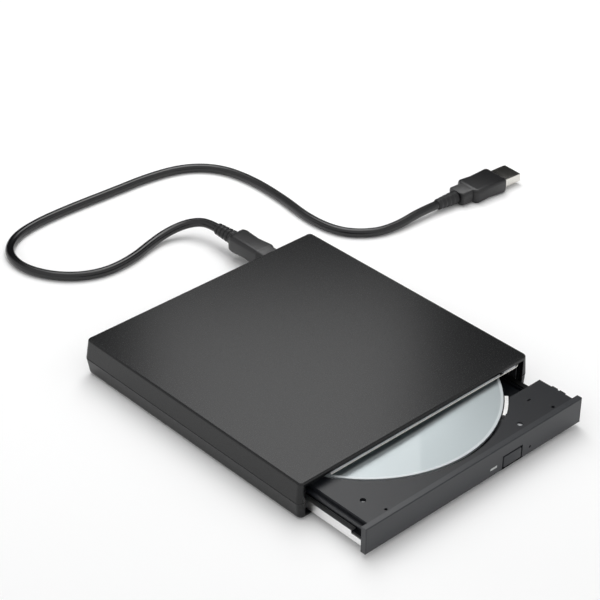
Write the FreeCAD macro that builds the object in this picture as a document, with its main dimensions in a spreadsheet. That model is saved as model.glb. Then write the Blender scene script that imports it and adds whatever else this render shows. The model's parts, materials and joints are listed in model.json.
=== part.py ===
"""External slim optical drive: a two-shell case, a laptop-type drive in it with its tray part open,
a disc on the hub, and the cable that joins it to a computer.

Millimetres. The origin is the centre of the case's flat underside, +Z up, -Y out of the tray's mouth,
+X to the right as seen from the mouth. The rubber feet stand just below the origin.
The driving sizes are in the spreadsheet "Sizes"; every other length is an expression in its cells.
"""
import FreeCAD, Part
import math
import os
import re
import Sketcher

Vector = FreeCAD.Vector
DOC = FreeCAD.newDocument("OpticalDrive")

SIZES = {
    # the case
    "case_width": (134.0, "case across its flat top and underside"),
    "case_depth": (138.0, "case from mouth to back"),
    "case_height": (17.6, "case without its feet"),
    "flare": (1.0, "how far the sides lean out at the parting line"),
    "parting_height": (7.8, "parting line above the underside"),
    "corner_radius": (2.2, "upright corners of the case"),
    "rim_radius": (1.1, "rounding round the top and underside"),
    "parting_bevel": (0.3, "bevel that makes the parting groove"),
    "roof_thickness": (1.8, "top wall"),
    "floor_thickness": (1.4, "bottom wall"),
    "rear_wall": (2.0, "back wall"),
    "rib_width": (1.6, "ribs under the roof"),
    "rib_spread": (80.0, "between the two ribs"),
    "foot_height": (0.8, "rubber foot below the underside"),
    "foot_radius": (4.5, "rubber foot"),
    "foot_inset": (13.0, "foot centre from each side"),
    "case_post_radius": (2.9, "screw posts of the shells"),
    "case_post_inset": (9.0, "screw post from each side"),
    "case_screw_radius": (1.0, "screw that joins the shells"),
    "case_screw_length": (10.0, "under its head"),
    "small_screw_radius": (0.8, "screws of the cover and the adapter board"),
    "screw_head_radius": (1.85, "every small screw head"),
    "screw_head_height": (0.8, "every small screw head"),
    # the drive's chassis
    "drive_width": (128.0, "standard slim drive"),
    "drive_depth": (126.1, "chassis behind the bezel"),
    "drive_height": (12.7, "standard slim drive"),
    "drive_side_gap": (0.5, "chassis to case wall"),
    "drive_floor_gap": (0.1, "chassis to case floor"),
    "sheet": (0.6, "steel sheet of pan, cover and rails"),
    "notch_width": (34.0, "cut-out for the adapter, across"),
    "notch_depth": (7.5, "cut-out for the adapter, front to back"),
    "lip_left": (50.7, "cover lip left of the middle"),
    "lip_right": (49.5, "cover lip right of the middle"),
    "lip_height": (1.4, "upright part of the cover lip"),
    "drive_screw_radius": (1.0, "screw through the case floor into the pan"),
    "drive_screw_spread": (108.0, "between left and right screws"),
    "drive_screw_front": (21.0, "front screws behind the mouth"),
    "drive_screw_pitch": (84.0, "front screws to back screws"),
    # slides
    "tray_open": (33.7, "how far the tray stands out"),
    "rail_length": (112.0, "telescopic rail"),
    "rail_outside": (62.0, "rail's outer face from the middle"),
    "rail_low": (0.8, "rail above the drive's underside"),
    "rail_height": (4.2, "rail"),
    "rail_depth": (2.6, "rail's channel, across"),
    "rail_gap": (0.2, "rail to guide, and rail to runner"),
    "guide_length": (108.0, "guide in the pan"),
    # the tray
    "bezel_thickness": (2.8, "front panel"),
    "bezel_gap": (0.1, "closed bezel to chassis, and bezel above the case floor"),
    "tray_length": (112.0, "tray behind the bezel"),
    "tray_left": (60.0, "tray's left edge from the middle"),
    "wide_right": (61.5, "front stretch's right edge from the middle"),
    "wide_depth": (18.9, "front stretch behind the bezel"),
    "narrow_right": (41.0, "tray's right edge behind the front stretch"),
    "ledge": (1.5, "step along the left edge"),
    "skirt_gap": (0.4, "skirt under the tray to the rail"),
    "skirt_wall": (1.2, "skirt under the tray"),
    "skirt_low": (1.7, "skirt's lower edge above the drive's underside"),
    "deck_low": (8.0, "deck's underside above the drive's underside"),
    "recess_level": (9.2, "disc recess above the drive's underside"),
    "deck_top": (11.9, "tray's top above the drive's underside"),
    "disc_gap": (2.0, "disc's edge to its recess"),
    "base_thickness": (0.4, "steel sheet under the tray"),
    "pivot_radius": (1.2, "pin that the latch turns on"),
    "button_left": (15.2, "button's left edge"),
    "button_width": (11.0, "eject button"),
    "button_low": (1.0, "button above the drive's underside"),
    "button_height": (5.6, "eject button"),
    "button_gap": (0.6, "round the button"),
    "button_travel": (0.8, "press of the button"),
    "window_left": (7.3, "light window's left edge"),
    "window_width": (3.9, "light window"),
    "window_height": (1.0, "light window"),
    "window_level": (4.0, "light window's middle above the drive's underside"),
    "pinhole_x": (31.6, "emergency hole"),
    "pinhole_radius": (0.6, "emergency hole"),
    # the disc and its spindle
    "disc_radius": (60.0, "disc"),
    "disc_thickness": (1.2, "disc"),
    "disc_bore": (7.5, "disc's hole, radius"),
    "disc_setback": (67.7, "spindle behind the bezel's front"),
    "disc_level": (10.0, "disc's underside above the drive's underside"),
    "hub_gap": (0.1, "hub in the disc's hole"),
    "hub_height": (1.6, "hub above the disc's underside"),
    "turntable_radius": (15.0, "turntable"),
    "turntable_thickness": (1.9, "turntable"),
    "rotor_radius": (10.5, "motor's turning can"),
    "rotor_height": (4.2, "motor's turning can"),
    "shaft_radius": (1.0, "spindle shaft"),
    "running_gap": (0.05, "shaft or rod in its bore"),
    # the traverse that carries the pickup
    "traverse_angle": (230.0, "degrees from +X to the way the pickup travels"),
    "frame_half": (17.6, "traverse frame, half its width"),
    "frame_back": (22.0, "frame behind the spindle"),
    "frame_reach": (66.5, "frame along the travel"),
    "frame_level": (6.5, "frame's underside above the drive's underside"),
    "frame_thickness": (1.0, "traverse frame"),
    "rod_radius": (1.0, "guide rods"),
    "rod_offset": (13.8, "guide rods from the middle"),
    "rod_level": (4.9, "rods and lead screw above the drive's underside"),
    "sled_rest": (38.0, "lens from the spindle at rest"),
    "sled_half": (11.3, "pickup, half its width"),
    "screw_offset": (18.5, "lead screw from the middle"),
    "lead_screw_radius": (1.2, "lead screw"),
    "feed_motor_radius": (2.8, "feed motor"),
    # electronics and connectors
    "board_thickness": (1.2, "adapter board"),
    "thin_board": (0.8, "boards in the tray"),
    "socket_x": (46.5, "cable socket from the middle"),
    "socket_z": (8.2, "cable socket's axis above the underside"),
    "socket_width": (7.7, "cable socket"),
    "socket_height": (3.9, "cable socket"),
    "socket_depth": (9.0, "cable socket"),
    "socket_wall": (0.3, "metal shells of socket and plugs"),
    "plug_gap": (0.15, "plug nose in the socket"),
    # the cable
    "cable_diameter": (4.5, "cable"),
    "grip_width": (11.4, "drive-end plug"),
    "grip_height": (9.4, "drive-end plug"),
    "collar_length": (8.0, "drive-end plug's collar"),
    "grip_length": (21.4, "drive-end plug's grip"),
    "plug_standoff": (0.4, "plug's face to the case"),
    "relief_length": (13.0, "strain reliefs"),
    "host_plug_width": (16.0, "computer-end plug"),
    "host_plug_height": (8.0, "computer-end plug"),
    "host_plug_length": (28.0, "computer-end plug"),
    "host_shell_width": (12.0, "its metal shell"),
    "host_shell_height": (4.5, "its metal shell"),
    "host_shell_length": (11.8, "its metal shell"),
}

PLACES = {
    "skirt_side": "rail_outside - rail_depth - skirt_gap",
    "recess_radius": "disc_radius + disc_gap",
    "mouth": "-case_depth / 2",
    "case_back": "case_depth / 2",
    "rear_inside": "case_back - rear_wall",
    "ceiling": "case_height - roof_thickness",
    "cavity_side": "drive_width / 2 + drive_side_gap",
    "post_x": "case_width / 2 - case_post_inset",
    "post_y": "rear_inside - case_post_radius - 0.5",
    "drive_bottom": "floor_thickness + drive_floor_gap",
    "drive_top": "drive_bottom + drive_height",
    "pan_side": "drive_width / 2",
    "pan_inside": "pan_side - sheet",
    "pan_floor": "drive_bottom + sheet",
    "pan_top": "drive_top - sheet",
    "pan_front": "mouth + bezel_thickness + bezel_gap",
    "pan_back": "pan_front + drive_depth",
    "notch_x": "pan_side - notch_width",
    "notch_y": "pan_back - notch_depth",
    "bezel_front": "mouth - tray_open",
    "bezel_back": "bezel_front + bezel_thickness",
    "bezel_low": "floor_thickness + 2 * bezel_gap",
    "tray_back": "bezel_back + tray_length",
    "closed_back": "tray_back + tray_open",
    "wide_back": "bezel_back + wide_depth",
    "skirt_z": "drive_bottom + skirt_low",
    "deck_z": "drive_bottom + deck_low",
    "recess_z": "drive_bottom + recess_level",
    "tray_z": "drive_bottom + deck_top",
    "base_z": "skirt_z - base_thickness",
    "spindle_y": "bezel_front + disc_setback",
    "disc_z": "drive_bottom + disc_level",
    "frame_z": "drive_bottom + frame_level",
    "rod_z": "drive_bottom + rod_level",
    "rail_z": "drive_bottom + rail_low",
    "rail_front": "bezel_back + 1.7",
    "tray_board_z": "skirt_z + 0.6",
    "socket_mouth": "rear_inside + 1.2",
    "board_top": "socket_z - socket_height / 2",
    "plug_face": "case_back + flare + plug_standoff",
    "grip_back": "plug_face + collar_length + grip_length",
    "relief_end": "grip_back + relief_length",
}

WORD = re.compile(r"[a-z][a-z0-9_]*")
PIECES = []


def make_sheet():
    """Write the driving sizes into the spreadsheet, one to a row."""
    sheet = DOC.addObject("Spreadsheet::Sheet", "Sizes")
    for row, (name, (amount, note)) in enumerate(SIZES.items(), start=1):
        sheet.set(f"A{row}", name)
        sheet.set(f"B{row}", str(amount))
        sheet.setAlias(f"B{row}", name)
        sheet.set(f"C{row}", note)
    DOC.recompute()
    return sheet


SHEET = make_sheet()


def spelled(expression):
    """Write an expression out in the sheet's cells."""
    def swap(found):
        word = found.group(0)
        if word in PLACES:
            return "(" + spelled(PLACES[word]) + ")"
        return "Sizes." + word if word in SIZES else word
    return WORD.sub(swap, str(expression))


def value(expression):
    """The number that an expression comes to."""
    return float(SHEET.evalExpression(spelled(expression)))


def bind(feature, prop, expression):
    feature.setExpression(prop, spelled(expression))


def keep(feature, label):
    """Call a finished object a sub-part: its label names its file."""
    feature.Label = label
    PIECES.append(feature)
    return feature


# ---- sketched bodies ---------------------------------------------------------------------------

def rect(left, right, front, back):
    return [(left, front), (right, front), (right, back), (left, back)]


def square(x, y, width, depth):
    """A rectangle round a middle point."""
    return rect(f"{x} - ({width}) / 2", f"{x} + ({width}) / 2",
                f"{y} - ({depth}) / 2", f"{y} + ({depth}) / 2")


def new_sketch(body, name, plane, offset):
    """An empty sketch on one of the body's own origin planes, moved along the plane's normal."""
    sketch = body.newObject("Sketcher::SketchObject", name)
    base = next(f for f in body.Origin.OriginFeatures if f.Role == plane)
    sketch.AttachmentSupport = [(base, "")]
    sketch.MapMode = "FlatFace"
    bind(sketch, "AttachmentOffset.Base.z", offset)
    return sketch


def pin_point(sketch, shape, end, x, y):
    """Hold one point of a sketch at a place given by two expressions."""
    for kind, place in (("DistanceX", x), ("DistanceY", y)):
        index = sketch.addConstraint(Sketcher.Constraint(kind, -1, 1, shape, end, value(place)))
        bind(sketch, f"Constraints[{index}]", place)


def draw_outline(sketch, points):
    """A closed chain of straight lines."""
    places = [Vector(value(x), value(y), 0) for x, y in points]
    first = sketch.GeometryCount
    count = len(places)
    for i in range(count):
        sketch.addGeometry(Part.LineSegment(places[i], places[(i + 1) % count]), False)
    for i in range(count):
        following = first + (i + 1) % count
        sketch.addConstraint(Sketcher.Constraint("Coincident", first + i, 2, following, 1))
    for i, (x, y) in enumerate(points):
        pin_point(sketch, first + i, 1, x, y)


def draw_circle(sketch, x, y, radius):
    centre = Vector(value(x), value(y), 0)
    index = sketch.addGeometry(Part.Circle(centre, Vector(0, 0, 1), value(radius)), False)
    pin_point(sketch, index, 3, x, y)
    held = sketch.addConstraint(Sketcher.Constraint("Radius", index, value(radius)))
    bind(sketch, f"Constraints[{held}]", radius)


def draw(sketch, shapes):
    """Draw outlines, which are lists of points, and circles, which are (x, y, radius)."""
    for shape in shapes:
        if isinstance(shape, list):
            draw_outline(sketch, shape)
        else:
            draw_circle(sketch, *shape)


def new_body(label):
    return keep(DOC.addObject("PartDesign::Body", label), label)


def pad(body, name, shapes, low, high, plane="XY_Plane"):
    """Add material between two levels of the axis that the sketch's plane faces."""
    start = f"-({high})" if plane == "XZ_Plane" else low
    sketch = new_sketch(body, name + "_sketch", plane, start)
    draw(sketch, shapes)
    feature = body.newObject("PartDesign::Pad", name)
    feature.Profile = sketch
    bind(feature, "Length", f"({high}) - ({low})")
    return feature


def pocket(body, name, shapes, low, high, plane="XY_Plane"):
    """Take material away between two levels of the axis that the sketch's plane faces."""
    start = f"-({low})" if plane == "XZ_Plane" else high
    sketch = new_sketch(body, name + "_sketch", plane, start)
    draw(sketch, shapes)
    feature = body.newObject("PartDesign::Pocket", name)
    feature.Profile = sketch
    bind(feature, "Length", f"({high}) - ({low})")
    return feature


def dress(body, kind, name, amount, test):
    """Fillet or chamfer the edges of the body so far that pass a test."""
    DOC.recompute()
    base = body.Tip
    edges = [f"Edge{i}" for i, edge in enumerate(base.Shape.Edges, start=1) if test(edge)]
    if not edges:
        raise ValueError(f"{body.Label}: {name} found no edge")
    feature = body.newObject("PartDesign::" + kind, name)
    feature.Base = (base, edges)
    bind(feature, "Radius" if kind == "Fillet" else "Size", amount)
    return feature


def near(a, b):
    return abs(a - b) < 1e-4


def at_level(edge, level):
    return all(near(corner.Z, level) for corner in edge.Vertexes)


def upright(edge):
    ends = edge.Vertexes
    return len(ends) == 2 and abs(ends[0].Z - ends[1].Z) > 0.9 * edge.Length


# ---- plain solids ------------------------------------------------------------------------------

TURNS = {
    "x": FreeCAD.Rotation(Vector(0, 1, 0), 90),
    "y": FreeCAD.Rotation(Vector(1, 0, 0), -90),
    "z": FreeCAD.Rotation(),
}


def block(name, x, y, z):
    """A block between two planes each way; x, y and z are (low, high)."""
    solid = DOC.addObject("Part::Box", name)
    for axis, side, (low, high) in zip("xyz", ("Length", "Width", "Height"), (x, y, z)):
        bind(solid, side, f"({high}) - ({low})")
        bind(solid, f"Placement.Base.{axis}", low)
    return solid


def lay(solid, along, centre, low):
    """Turn a round solid along an axis and put its foot at a level; centre is on the other two."""
    solid.Placement = FreeCAD.Placement(Vector(), TURNS[along])
    others = [axis for axis in "xyz" if axis != along]
    for axis, place in zip(others + [along], list(centre) + [low]):
        bind(solid, f"Placement.Base.{axis}", place)


def rod(name, along, centre, low, high, radius):
    solid = DOC.addObject("Part::Cylinder", name)
    bind(solid, "Radius", radius)
    bind(solid, "Height", f"({high}) - ({low})")
    lay(solid, along, centre, low)
    return solid


def cone(name, along, centre, low, high, radius, end_radius):
    solid = DOC.addObject("Part::Cone", name)
    bind(solid, "Radius1", radius)
    bind(solid, "Radius2", end_radius)
    bind(solid, "Height", f"({high}) - ({low})")
    lay(solid, along, centre, low)
    return solid


def joined(name, *solids):
    whole = DOC.addObject("Part::MultiFuse", name)
    whole.Shapes = list(solids)
    return whole


def without(name, solid, *tools):
    rest = DOC.addObject("Part::Cut", name)
    rest.Base = solid
    rest.Tool = tools[0] if len(tools) == 1 else joined(name + "_tools", *tools)
    return rest


def group(label, solids):
    """Like pieces that share one node as separate solids."""
    whole = DOC.addObject("Part::Compound", label)
    whole.Links = list(solids)
    return keep(whole, label)


def screw(name, x, y, head_from, down, shank_radius, length, head_height="screw_head_height",
          head_radius="screw_head_radius"):
    """A round-headed screw along Z: down is True when its point is below its head."""
    if down:
        shank = (f"({head_from}) - ({length})", head_from)
        head = (head_from, f"({head_from}) + ({head_height})")
    else:
        shank = (head_from, f"({head_from}) + ({length})")
        head = (f"({head_from}) - ({head_height})", head_from)
    return joined(name, rod(name + "_head", "z", (x, y), *head, head_radius),
                  rod(name + "_shank", "z", (x, y), *shank, shank_radius))


# ---- the case ----------------------------------------------------------------------------------

SIDES = (("left", "-"), ("right", ""))
BOARD_SCREWS = (("socket_x - 11.6", "rear_inside - 4"), ("socket_x + 6.1", "rear_inside - 7.4"))


def hull(body, level):
    """The outside of a shell: widest at the parting line and leaning in to its flat face."""
    wide = "case_width / 2 + flare"
    profile = [(f"-({wide})", "parting_height"), (wide, "parting_height"),
               ("case_width / 2", level), ("-case_width / 2", level)]
    pad(body, "hull", [profile], "mouth", "case_back + flare", "XZ_Plane")
    slope = [("case_back + flare", "parting_height"), ("case_back", level),
             ("case_back + flare + 1", level), ("case_back + flare + 1", "parting_height")]
    pocket(body, "back_slope", [slope], f"-({wide}) - 1", f"{wide} + 1", "YZ_Plane")
    dress(body, "Fillet", "corners", "corner_radius", upright)
    dress(body, "Fillet", "rim", "rim_radius", lambda e: at_level(e, value(level)))
    dress(body, "Chamfer", "parting_groove", "parting_bevel",
          lambda e: at_level(e, value("parting_height")) and not near(e.BoundBox.YMax, value("mouth")))


def cavity(body, low, high):
    inside = [rect("-cavity_side", "cavity_side", "mouth - 1", "rear_inside")]
    pocket(body, "cavity", inside, low, high)


def cable_opening(body):
    """The window in the back wall that the plug's nose passes through."""
    window = square("socket_x", "socket_z", "socket_width + 1.3", "socket_height + 1.3")
    pocket(body, "cable_opening", [window], "rear_inside - 0.5", "case_back + flare + 1", "XZ_Plane")


def case_posts(radius):
    return [(f"{sign}post_x", "post_y", radius) for _, sign in SIDES]


def top_shell():
    body = new_body("top_shell")
    hull(body, "case_height")
    cavity(body, "parting_height", "ceiling")
    ribs = [square(f"{sign}rib_spread / 2", "-3", "rib_width", "case_depth - 26") for _, sign in SIDES]
    pad(body, "roof_ribs", ribs, "drive_top + 0.15", "ceiling")
    pad(body, "screw_posts", case_posts("case_post_radius"), "parting_height", "ceiling")
    pocket(body, "screw_pilots", case_posts("case_screw_radius + running_gap"),
           "parting_height", "ceiling - 1")
    cable_opening(body)


def drive_screw_places():
    for _, sign in SIDES:
        for back in ("", " + drive_screw_pitch"):
            yield f"{sign}drive_screw_spread / 2", f"mouth + drive_screw_front{back}"


def bottom_shell():
    body = new_body("bottom_shell")
    hull(body, "0")
    cavity(body, "floor_thickness", "parting_height")
    pad(body, "screw_posts", case_posts("case_post_radius"), "floor_thickness", "parting_height")
    stands = [(x, y, "2") for x, y in BOARD_SCREWS]
    pad(body, "board_stands", stands, "floor_thickness", "board_top - board_thickness")
    pilots = [(x, y, "small_screw_radius + running_gap") for x, y in BOARD_SCREWS]
    pocket(body, "board_pilots", pilots, "floor_thickness + 0.4", "board_top - board_thickness")
    holes = case_posts("case_screw_radius + 0.1")
    holes += [(x, y, "drive_screw_radius + 0.1") for x, y in drive_screw_places()]
    pocket(body, "screw_holes", holes, "-1", "parting_height")
    pocket(body, "post_heads", case_posts("screw_head_radius + 0.15"), "-1", "2")
    sinks = [(x, y, "screw_head_radius + 0.1") for x, y in drive_screw_places()]
    pocket(body, "drive_heads", sinks, "-1", "screw_head_height + 0.1")
    cable_opening(body)


def case_fittings():
    """Feet, and the screws that go in from below."""
    feet = []
    for _, x_sign in SIDES:
        for _, y_sign in SIDES:
            centre = (f"{x_sign}(case_width / 2 - foot_inset)", f"{y_sign}(case_depth / 2 - foot_inset - 1)")
            feet.append(cone("foot", "z", centre, "-foot_height", "0", "foot_radius - 0.3", "foot_radius"))
    group("rubber_feet", feet)
    group("case_screws", [screw("case_screw", f"{sign}post_x", "post_y", "2", False,
                                "case_screw_radius", "case_screw_length", "1.2") for _, sign in SIDES])
    group("drive_screws", [screw("drive_screw", x, y, "screw_head_height + 0.1", False,
                                 "drive_screw_radius", "pan_floor - screw_head_height - 0.1")
                           for x, y in drive_screw_places()])


# ---- the chassis -------------------------------------------------------------------------------

def chassis_outline(inset):
    """The chassis seen from above, with its back right corner cut out for the adapter."""
    side = f"pan_side - ({inset})"
    back = f"pan_back - ({inset})"
    return [(f"-({side})", "pan_front"), (side, "pan_front"), (side, f"notch_y - ({inset})"),
            (f"notch_x - ({inset})", f"notch_y - ({inset})"), (f"notch_x - ({inset})", back),
            (f"-({side})", back)]


CHASSIS_SCREWS = (("-(pan_inside - 2.9)", "pan_back - 5"), ("pan_inside - 2.9", "notch_y - 2.3"))


def chassis_pan():
    body = new_body("chassis_pan")
    pad(body, "pan", [chassis_outline("0")], "drive_bottom", "pan_top")
    inner = chassis_outline("sheet")
    inner[0] = (inner[0][0], "pan_front - 1")
    inner[1] = (inner[1][0], "pan_front - 1")
    pocket(body, "inside", [inner], "pan_floor", "pan_top + 1")
    pad(body, "screw_columns", [(x, y, "2") for x, y in CHASSIS_SCREWS], "pan_floor", "pan_top")
    pilots = [(x, y, "small_screw_radius + running_gap") for x, y in CHASSIS_SCREWS]
    pocket(body, "column_pilots", pilots, "pan_floor + 2", "pan_top + 1")
    holes = [(x, y, "drive_screw_radius + running_gap") for x, y in drive_screw_places()]
    pocket(body, "screw_holes", holes, "drive_bottom - 1", "pan_floor + 0.1")
    window = rect("notch_x + 2.5", "notch_x + 27.5", "pan_floor", "pan_floor + 5.7")
    pocket(body, "connector_window", [window], "notch_y - 1", "notch_y + 1", "XZ_Plane")


def chassis_cover():
    body = new_body("chassis_cover")
    pad(body, "plate", [chassis_outline("0")], "pan_top", "drive_top")
    lip = [("mouth + 0.1", "drive_top + 0.1"), ("pan_front", "drive_top + 0.1"),
           ("pan_front", "drive_top - 0.1"), ("pan_front + 5", "drive_top - 0.1"),
           ("pan_front + 5", "drive_top + 0.1 + sheet"), ("mouth + 0.1 + sheet", "drive_top + 0.1 + sheet"),
           ("mouth + 0.1 + sheet", "drive_top + lip_height"), ("mouth + 0.1", "drive_top + lip_height")]
    pad(body, "lip", [lip], "-lip_left", "lip_right", "YZ_Plane")
    pad(body, "lip_tab", [lip], "lip_right + 2.5", "lip_right + 10", "YZ_Plane")
    press = [rect("-rib_spread / 2 + 3", "rib_spread / 2 - 3", "pan_front + 14", "pan_front + 16.5"),
             rect("-rib_spread / 2 + 3", "12", "pan_back - 16.5", "pan_back - 14")]
    pad(body, "beads", press, "drive_top - 0.1", "drive_top + 0.5")
    holes = [(x, y, "small_screw_radius + 0.1") for x, y in CHASSIS_SCREWS]
    pocket(body, "screw_holes", holes, "pan_top - 0.1", "drive_top + 1")


def rail_guide(side, sign):
    """A moulded channel along the pan's wall that the steel rail runs in."""
    body = new_body(f"rail_guide_{side}")
    outer = "pan_inside - 0.1"
    inner = "rail_outside + rail_gap"
    top = "rail_z + rail_height"
    profile = [(outer, "pan_floor + 0.1"), (outer, f"{top} + 1.1"), ("rail_outside - 0.8", f"{top} + 1.1"),
               ("rail_outside - 0.8", f"{top} + rail_gap"), (inner, f"{top} + rail_gap"),
               (inner, "pan_floor + 0.1")]
    pad(body, "channel", [[(f"{sign}({x})", z) for x, z in profile]],
        "pan_front + 3", "pan_front + 3 + guide_length", "XZ_Plane")


def rail(side, sign):
    """A steel channel, open towards the tray's runner."""
    body = new_body(f"rail_{side}")
    tip = "rail_outside - rail_depth"
    web = "rail_outside - sheet"
    low = "rail_z"
    top = "rail_z + rail_height"
    profile = [("rail_outside", low), ("rail_outside", top), (tip, top), (tip, f"{top} - 0.5"),
               (web, f"{top} - 0.5"), (web, f"{low} + 0.5"), (tip, f"{low} + 0.5"), (tip, low)]
    pad(body, "channel", [[(f"{sign}({x})", z) for x, z in profile]],
        "rail_front", "rail_front + rail_length", "XZ_Plane")
    step = [rect("rail_front - 1", "rail_front + 5.8", f"{top} - 1.3", f"{top} + 1")]
    ends = ("-rail_outside - 1", "-rail_outside + rail_depth + 1")
    if sign == "":
        ends = ("rail_outside - rail_depth - 1", "rail_outside + 1")
    pocket(body, "front_step", step, *ends, "YZ_Plane")


def chassis_fittings():
    seats = [(x, y, "drive_top") for x, y in CHASSIS_SCREWS]
    seats += [(x, y, "board_top") for x, y in BOARD_SCREWS]
    group("small_screws", [screw("small_screw", x, y, level, True, "small_screw_radius", "3.6", "0.6", "1.6")
                           for x, y, level in seats])
    post = joined("lock_post_body", rod("lock_post_pin", "z", ("9.5", "notch_y + 0.3"), "pan_floor",
                                        "pan_floor + 5.3", "1.3"),
                  rod("lock_post_foot", "z", ("9.5", "notch_y + 0.3"), "pan_floor", "pan_floor + 0.6", "2.6"))
    keep(post, "lock_post")
    keep(block("drive_board", ("-34", "4"), ("closed_back + 1.2", "pan_back - 1"),
               ("pan_floor + 0.05", "pan_floor + 0.95")), "drive_board")
    connector = block("connector_block", ("notch_x + 3", "notch_x + 27"), ("notch_y - 6", "notch_y - 0.1"),
                      ("pan_floor", "pan_floor + 5.5"))
    mouth_gap = block("connector_gap", ("notch_x + 5", "notch_x + 25"), ("notch_y - 4.5", "notch_y"),
                      ("pan_floor + 2.2", "pan_floor + 3.6"))
    keep(without("drive_connector", connector, mouth_gap), "drive_connector")
    keep(block("ribbon_cable", ("-30", "-12"), ("tray_back - 6", "closed_back + 4"),
               ("skirt_z + 0.2", "skirt_z + 0.35")), "ribbon_cable")


# ---- the adapter -------------------------------------------------------------------------------

def adapter():
    """The board between the drive and the cable's socket."""
    board_x = ("notch_x + 2", "socket_x + 8")
    board_y = ("notch_y + 4.1", "rear_inside - 0.3")
    board = block("board_sheet", board_x, board_y, ("board_top - board_thickness", "board_top"))
    holes = [rod("board_hole", "z", place, "board_top - 5", "board_top + 5", "small_screw_radius + 0.1")
             for place in BOARD_SCREWS]
    keep(without("adapter_board", board, *holes), "adapter_board")
    keep(block("bridge_chip", ("socket_x - 9.7", "socket_x - 4.7"), ("rear_inside - 8.5", "rear_inside - 3.5"),
               ("board_top", "board_top + 1")), "bridge_chip")
    plug_body = block("adapter_block", ("notch_x + 3", "notch_x + 27"), ("notch_y + 0.2", "notch_y + 4"),
                      ("pan_floor + 0.5", "pan_floor + 5.5"))
    blade = block("adapter_blade", ("notch_x + 6", "notch_x + 24"), ("notch_y - 3.5", "notch_y + 1"),
                  ("pan_floor + 2.4", "pan_floor + 3.4"))
    keep(joined("adapter_connector", plug_body, blade), "adapter_connector")
    usb_socket()


def section(x, z, width, height):
    """A rectangle round an axis that runs along Y, as (low, high) pairs across and up."""
    return ((f"{x} - ({width}) / 2", f"{x} + ({width}) / 2"), (f"{z} - ({height}) / 2", f"{z} + ({height}) / 2"))


def usb_socket():
    across, up = section("socket_x", "socket_z", "socket_width", "socket_height")
    shell = block("socket_shell", across, ("socket_mouth - socket_depth", "socket_mouth"), up)
    across, up = section("socket_x", "socket_z", "socket_width - 2 * socket_wall",
                         "socket_height - 2 * socket_wall")
    hollow = block("socket_hollow", across, ("socket_mouth - socket_depth + 0.8", "socket_mouth + 1"), up)
    across, up = section("socket_x", "socket_z", "4.6", "0.9")
    tongue = block("socket_tongue", across, ("socket_mouth - socket_depth + 0.4", "socket_mouth - 1.2"), up)
    keep(joined("usb_socket", without("socket_tube", shell, hollow), tongue), "usb_socket")


# ---- the tray ----------------------------------------------------------------------------------

def across_traverse(along, side):
    """The place in plan of a point given along and across the pickup's travel."""
    x = f"({along}) * cos(traverse_angle) - ({side}) * sin(traverse_angle)"
    y = f"spindle_y + ({along}) * sin(traverse_angle) + ({side}) * cos(traverse_angle)"
    return x, y


DAMPERS = (("-frame_back + 4", "frame_half - 4"), ("-frame_back + 4", "-frame_half + 4"),
           ("frame_reach - 2.9", "0"))
TRAY_SCREWS = (("-51.5", "bezel_back + 11.8"), ("52", "bezel_back + 13.2"),
               ("-50", "tray_back - 6"), ("narrow_right - 7", "tray_back - 6"))
TOP_SCREW = ("pinhole_x", "bezel_back + 3.6")
BOARD_POSTS = (("-36", "tray_back - 8"), ("20", "tray_back - 8"))
LATCH_PIVOT = ("4", "tray_back - 11")


def tray_outline(left, right, narrow, front, wide, back):
    return [(left, front), (right, front), (right, wide), (narrow, wide), (narrow, back), (left, back)]


def tray_frame():
    body = new_body("tray_frame")
    pad(body, "deck", [tray_outline("-tray_left", "wide_right", "narrow_right", "bezel_back",
                                    "wide_back", "tray_back")], "deck_z", "tray_z")
    pad(body, "ledge", [rect("-tray_left - ledge", "-tray_left + 1", "bezel_back", "tray_back")],
        "deck_z + 0.5", "tray_z - 2")
    outer = tray_outline("-skirt_side", "skirt_side", "narrow_right", "bezel_back", "wide_back", "tray_back")
    inner = tray_outline("-skirt_side + skirt_wall", "skirt_side - skirt_wall", "narrow_right - skirt_wall",
                         "bezel_back + 1.6", "wide_back - skirt_wall", "tray_back - skirt_wall")
    pad(body, "skirt", [outer, inner], "skirt_z", "deck_z")
    runner = ("rail_z + 0.5 + rail_gap + 0.4", "rail_z + rail_height - 0.5 - rail_gap")
    tip = "rail_outside - sheet - rail_gap"
    pad(body, "runner_left", [rect(f"-({tip})", "-skirt_side + 0.1", "bezel_back + 2.9", "tray_back")], *runner)
    pad(body, "runner_right", [rect("skirt_side - 0.1", tip, "bezel_back + 2.9", "tray_back")], *runner)
    pad(body, "runner_web", [rect("narrow_right - 0.1", "skirt_side + 0.1", "wide_back - 0.1", "tray_back")],
        runner[0], f"{runner[0]} + 1")
    columns = [(x, y, "2.4") for x, y in TRAY_SCREWS]
    pad(body, "screw_columns", columns, "skirt_z", "deck_z")
    pad(body, "board_posts", [(x, y, "2") for x, y in BOARD_POSTS], "tray_board_z + thin_board", "deck_z")
    pad(body, "front_board_seat", [rect("5", "27", "bezel_back + 7", "bezel_back + 9.6"), (*TOP_SCREW, "2")],
        "deck_z - 1.9", "deck_z")
    pad(body, "latch_pivot", [(*LATCH_PIVOT, "pivot_radius")], "tray_board_z + thin_board + 0.2", "deck_z")
    pad(body, "edge_bumps", [rect("wide_right - 0.1", "wide_right + 0.7", f"wide_back - {y} - 3",
                                  f"wide_back - {y}") for y in ("6.8", "11")], "tray_z - 2.2", "tray_z")
    tray_cuts(body)


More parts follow.
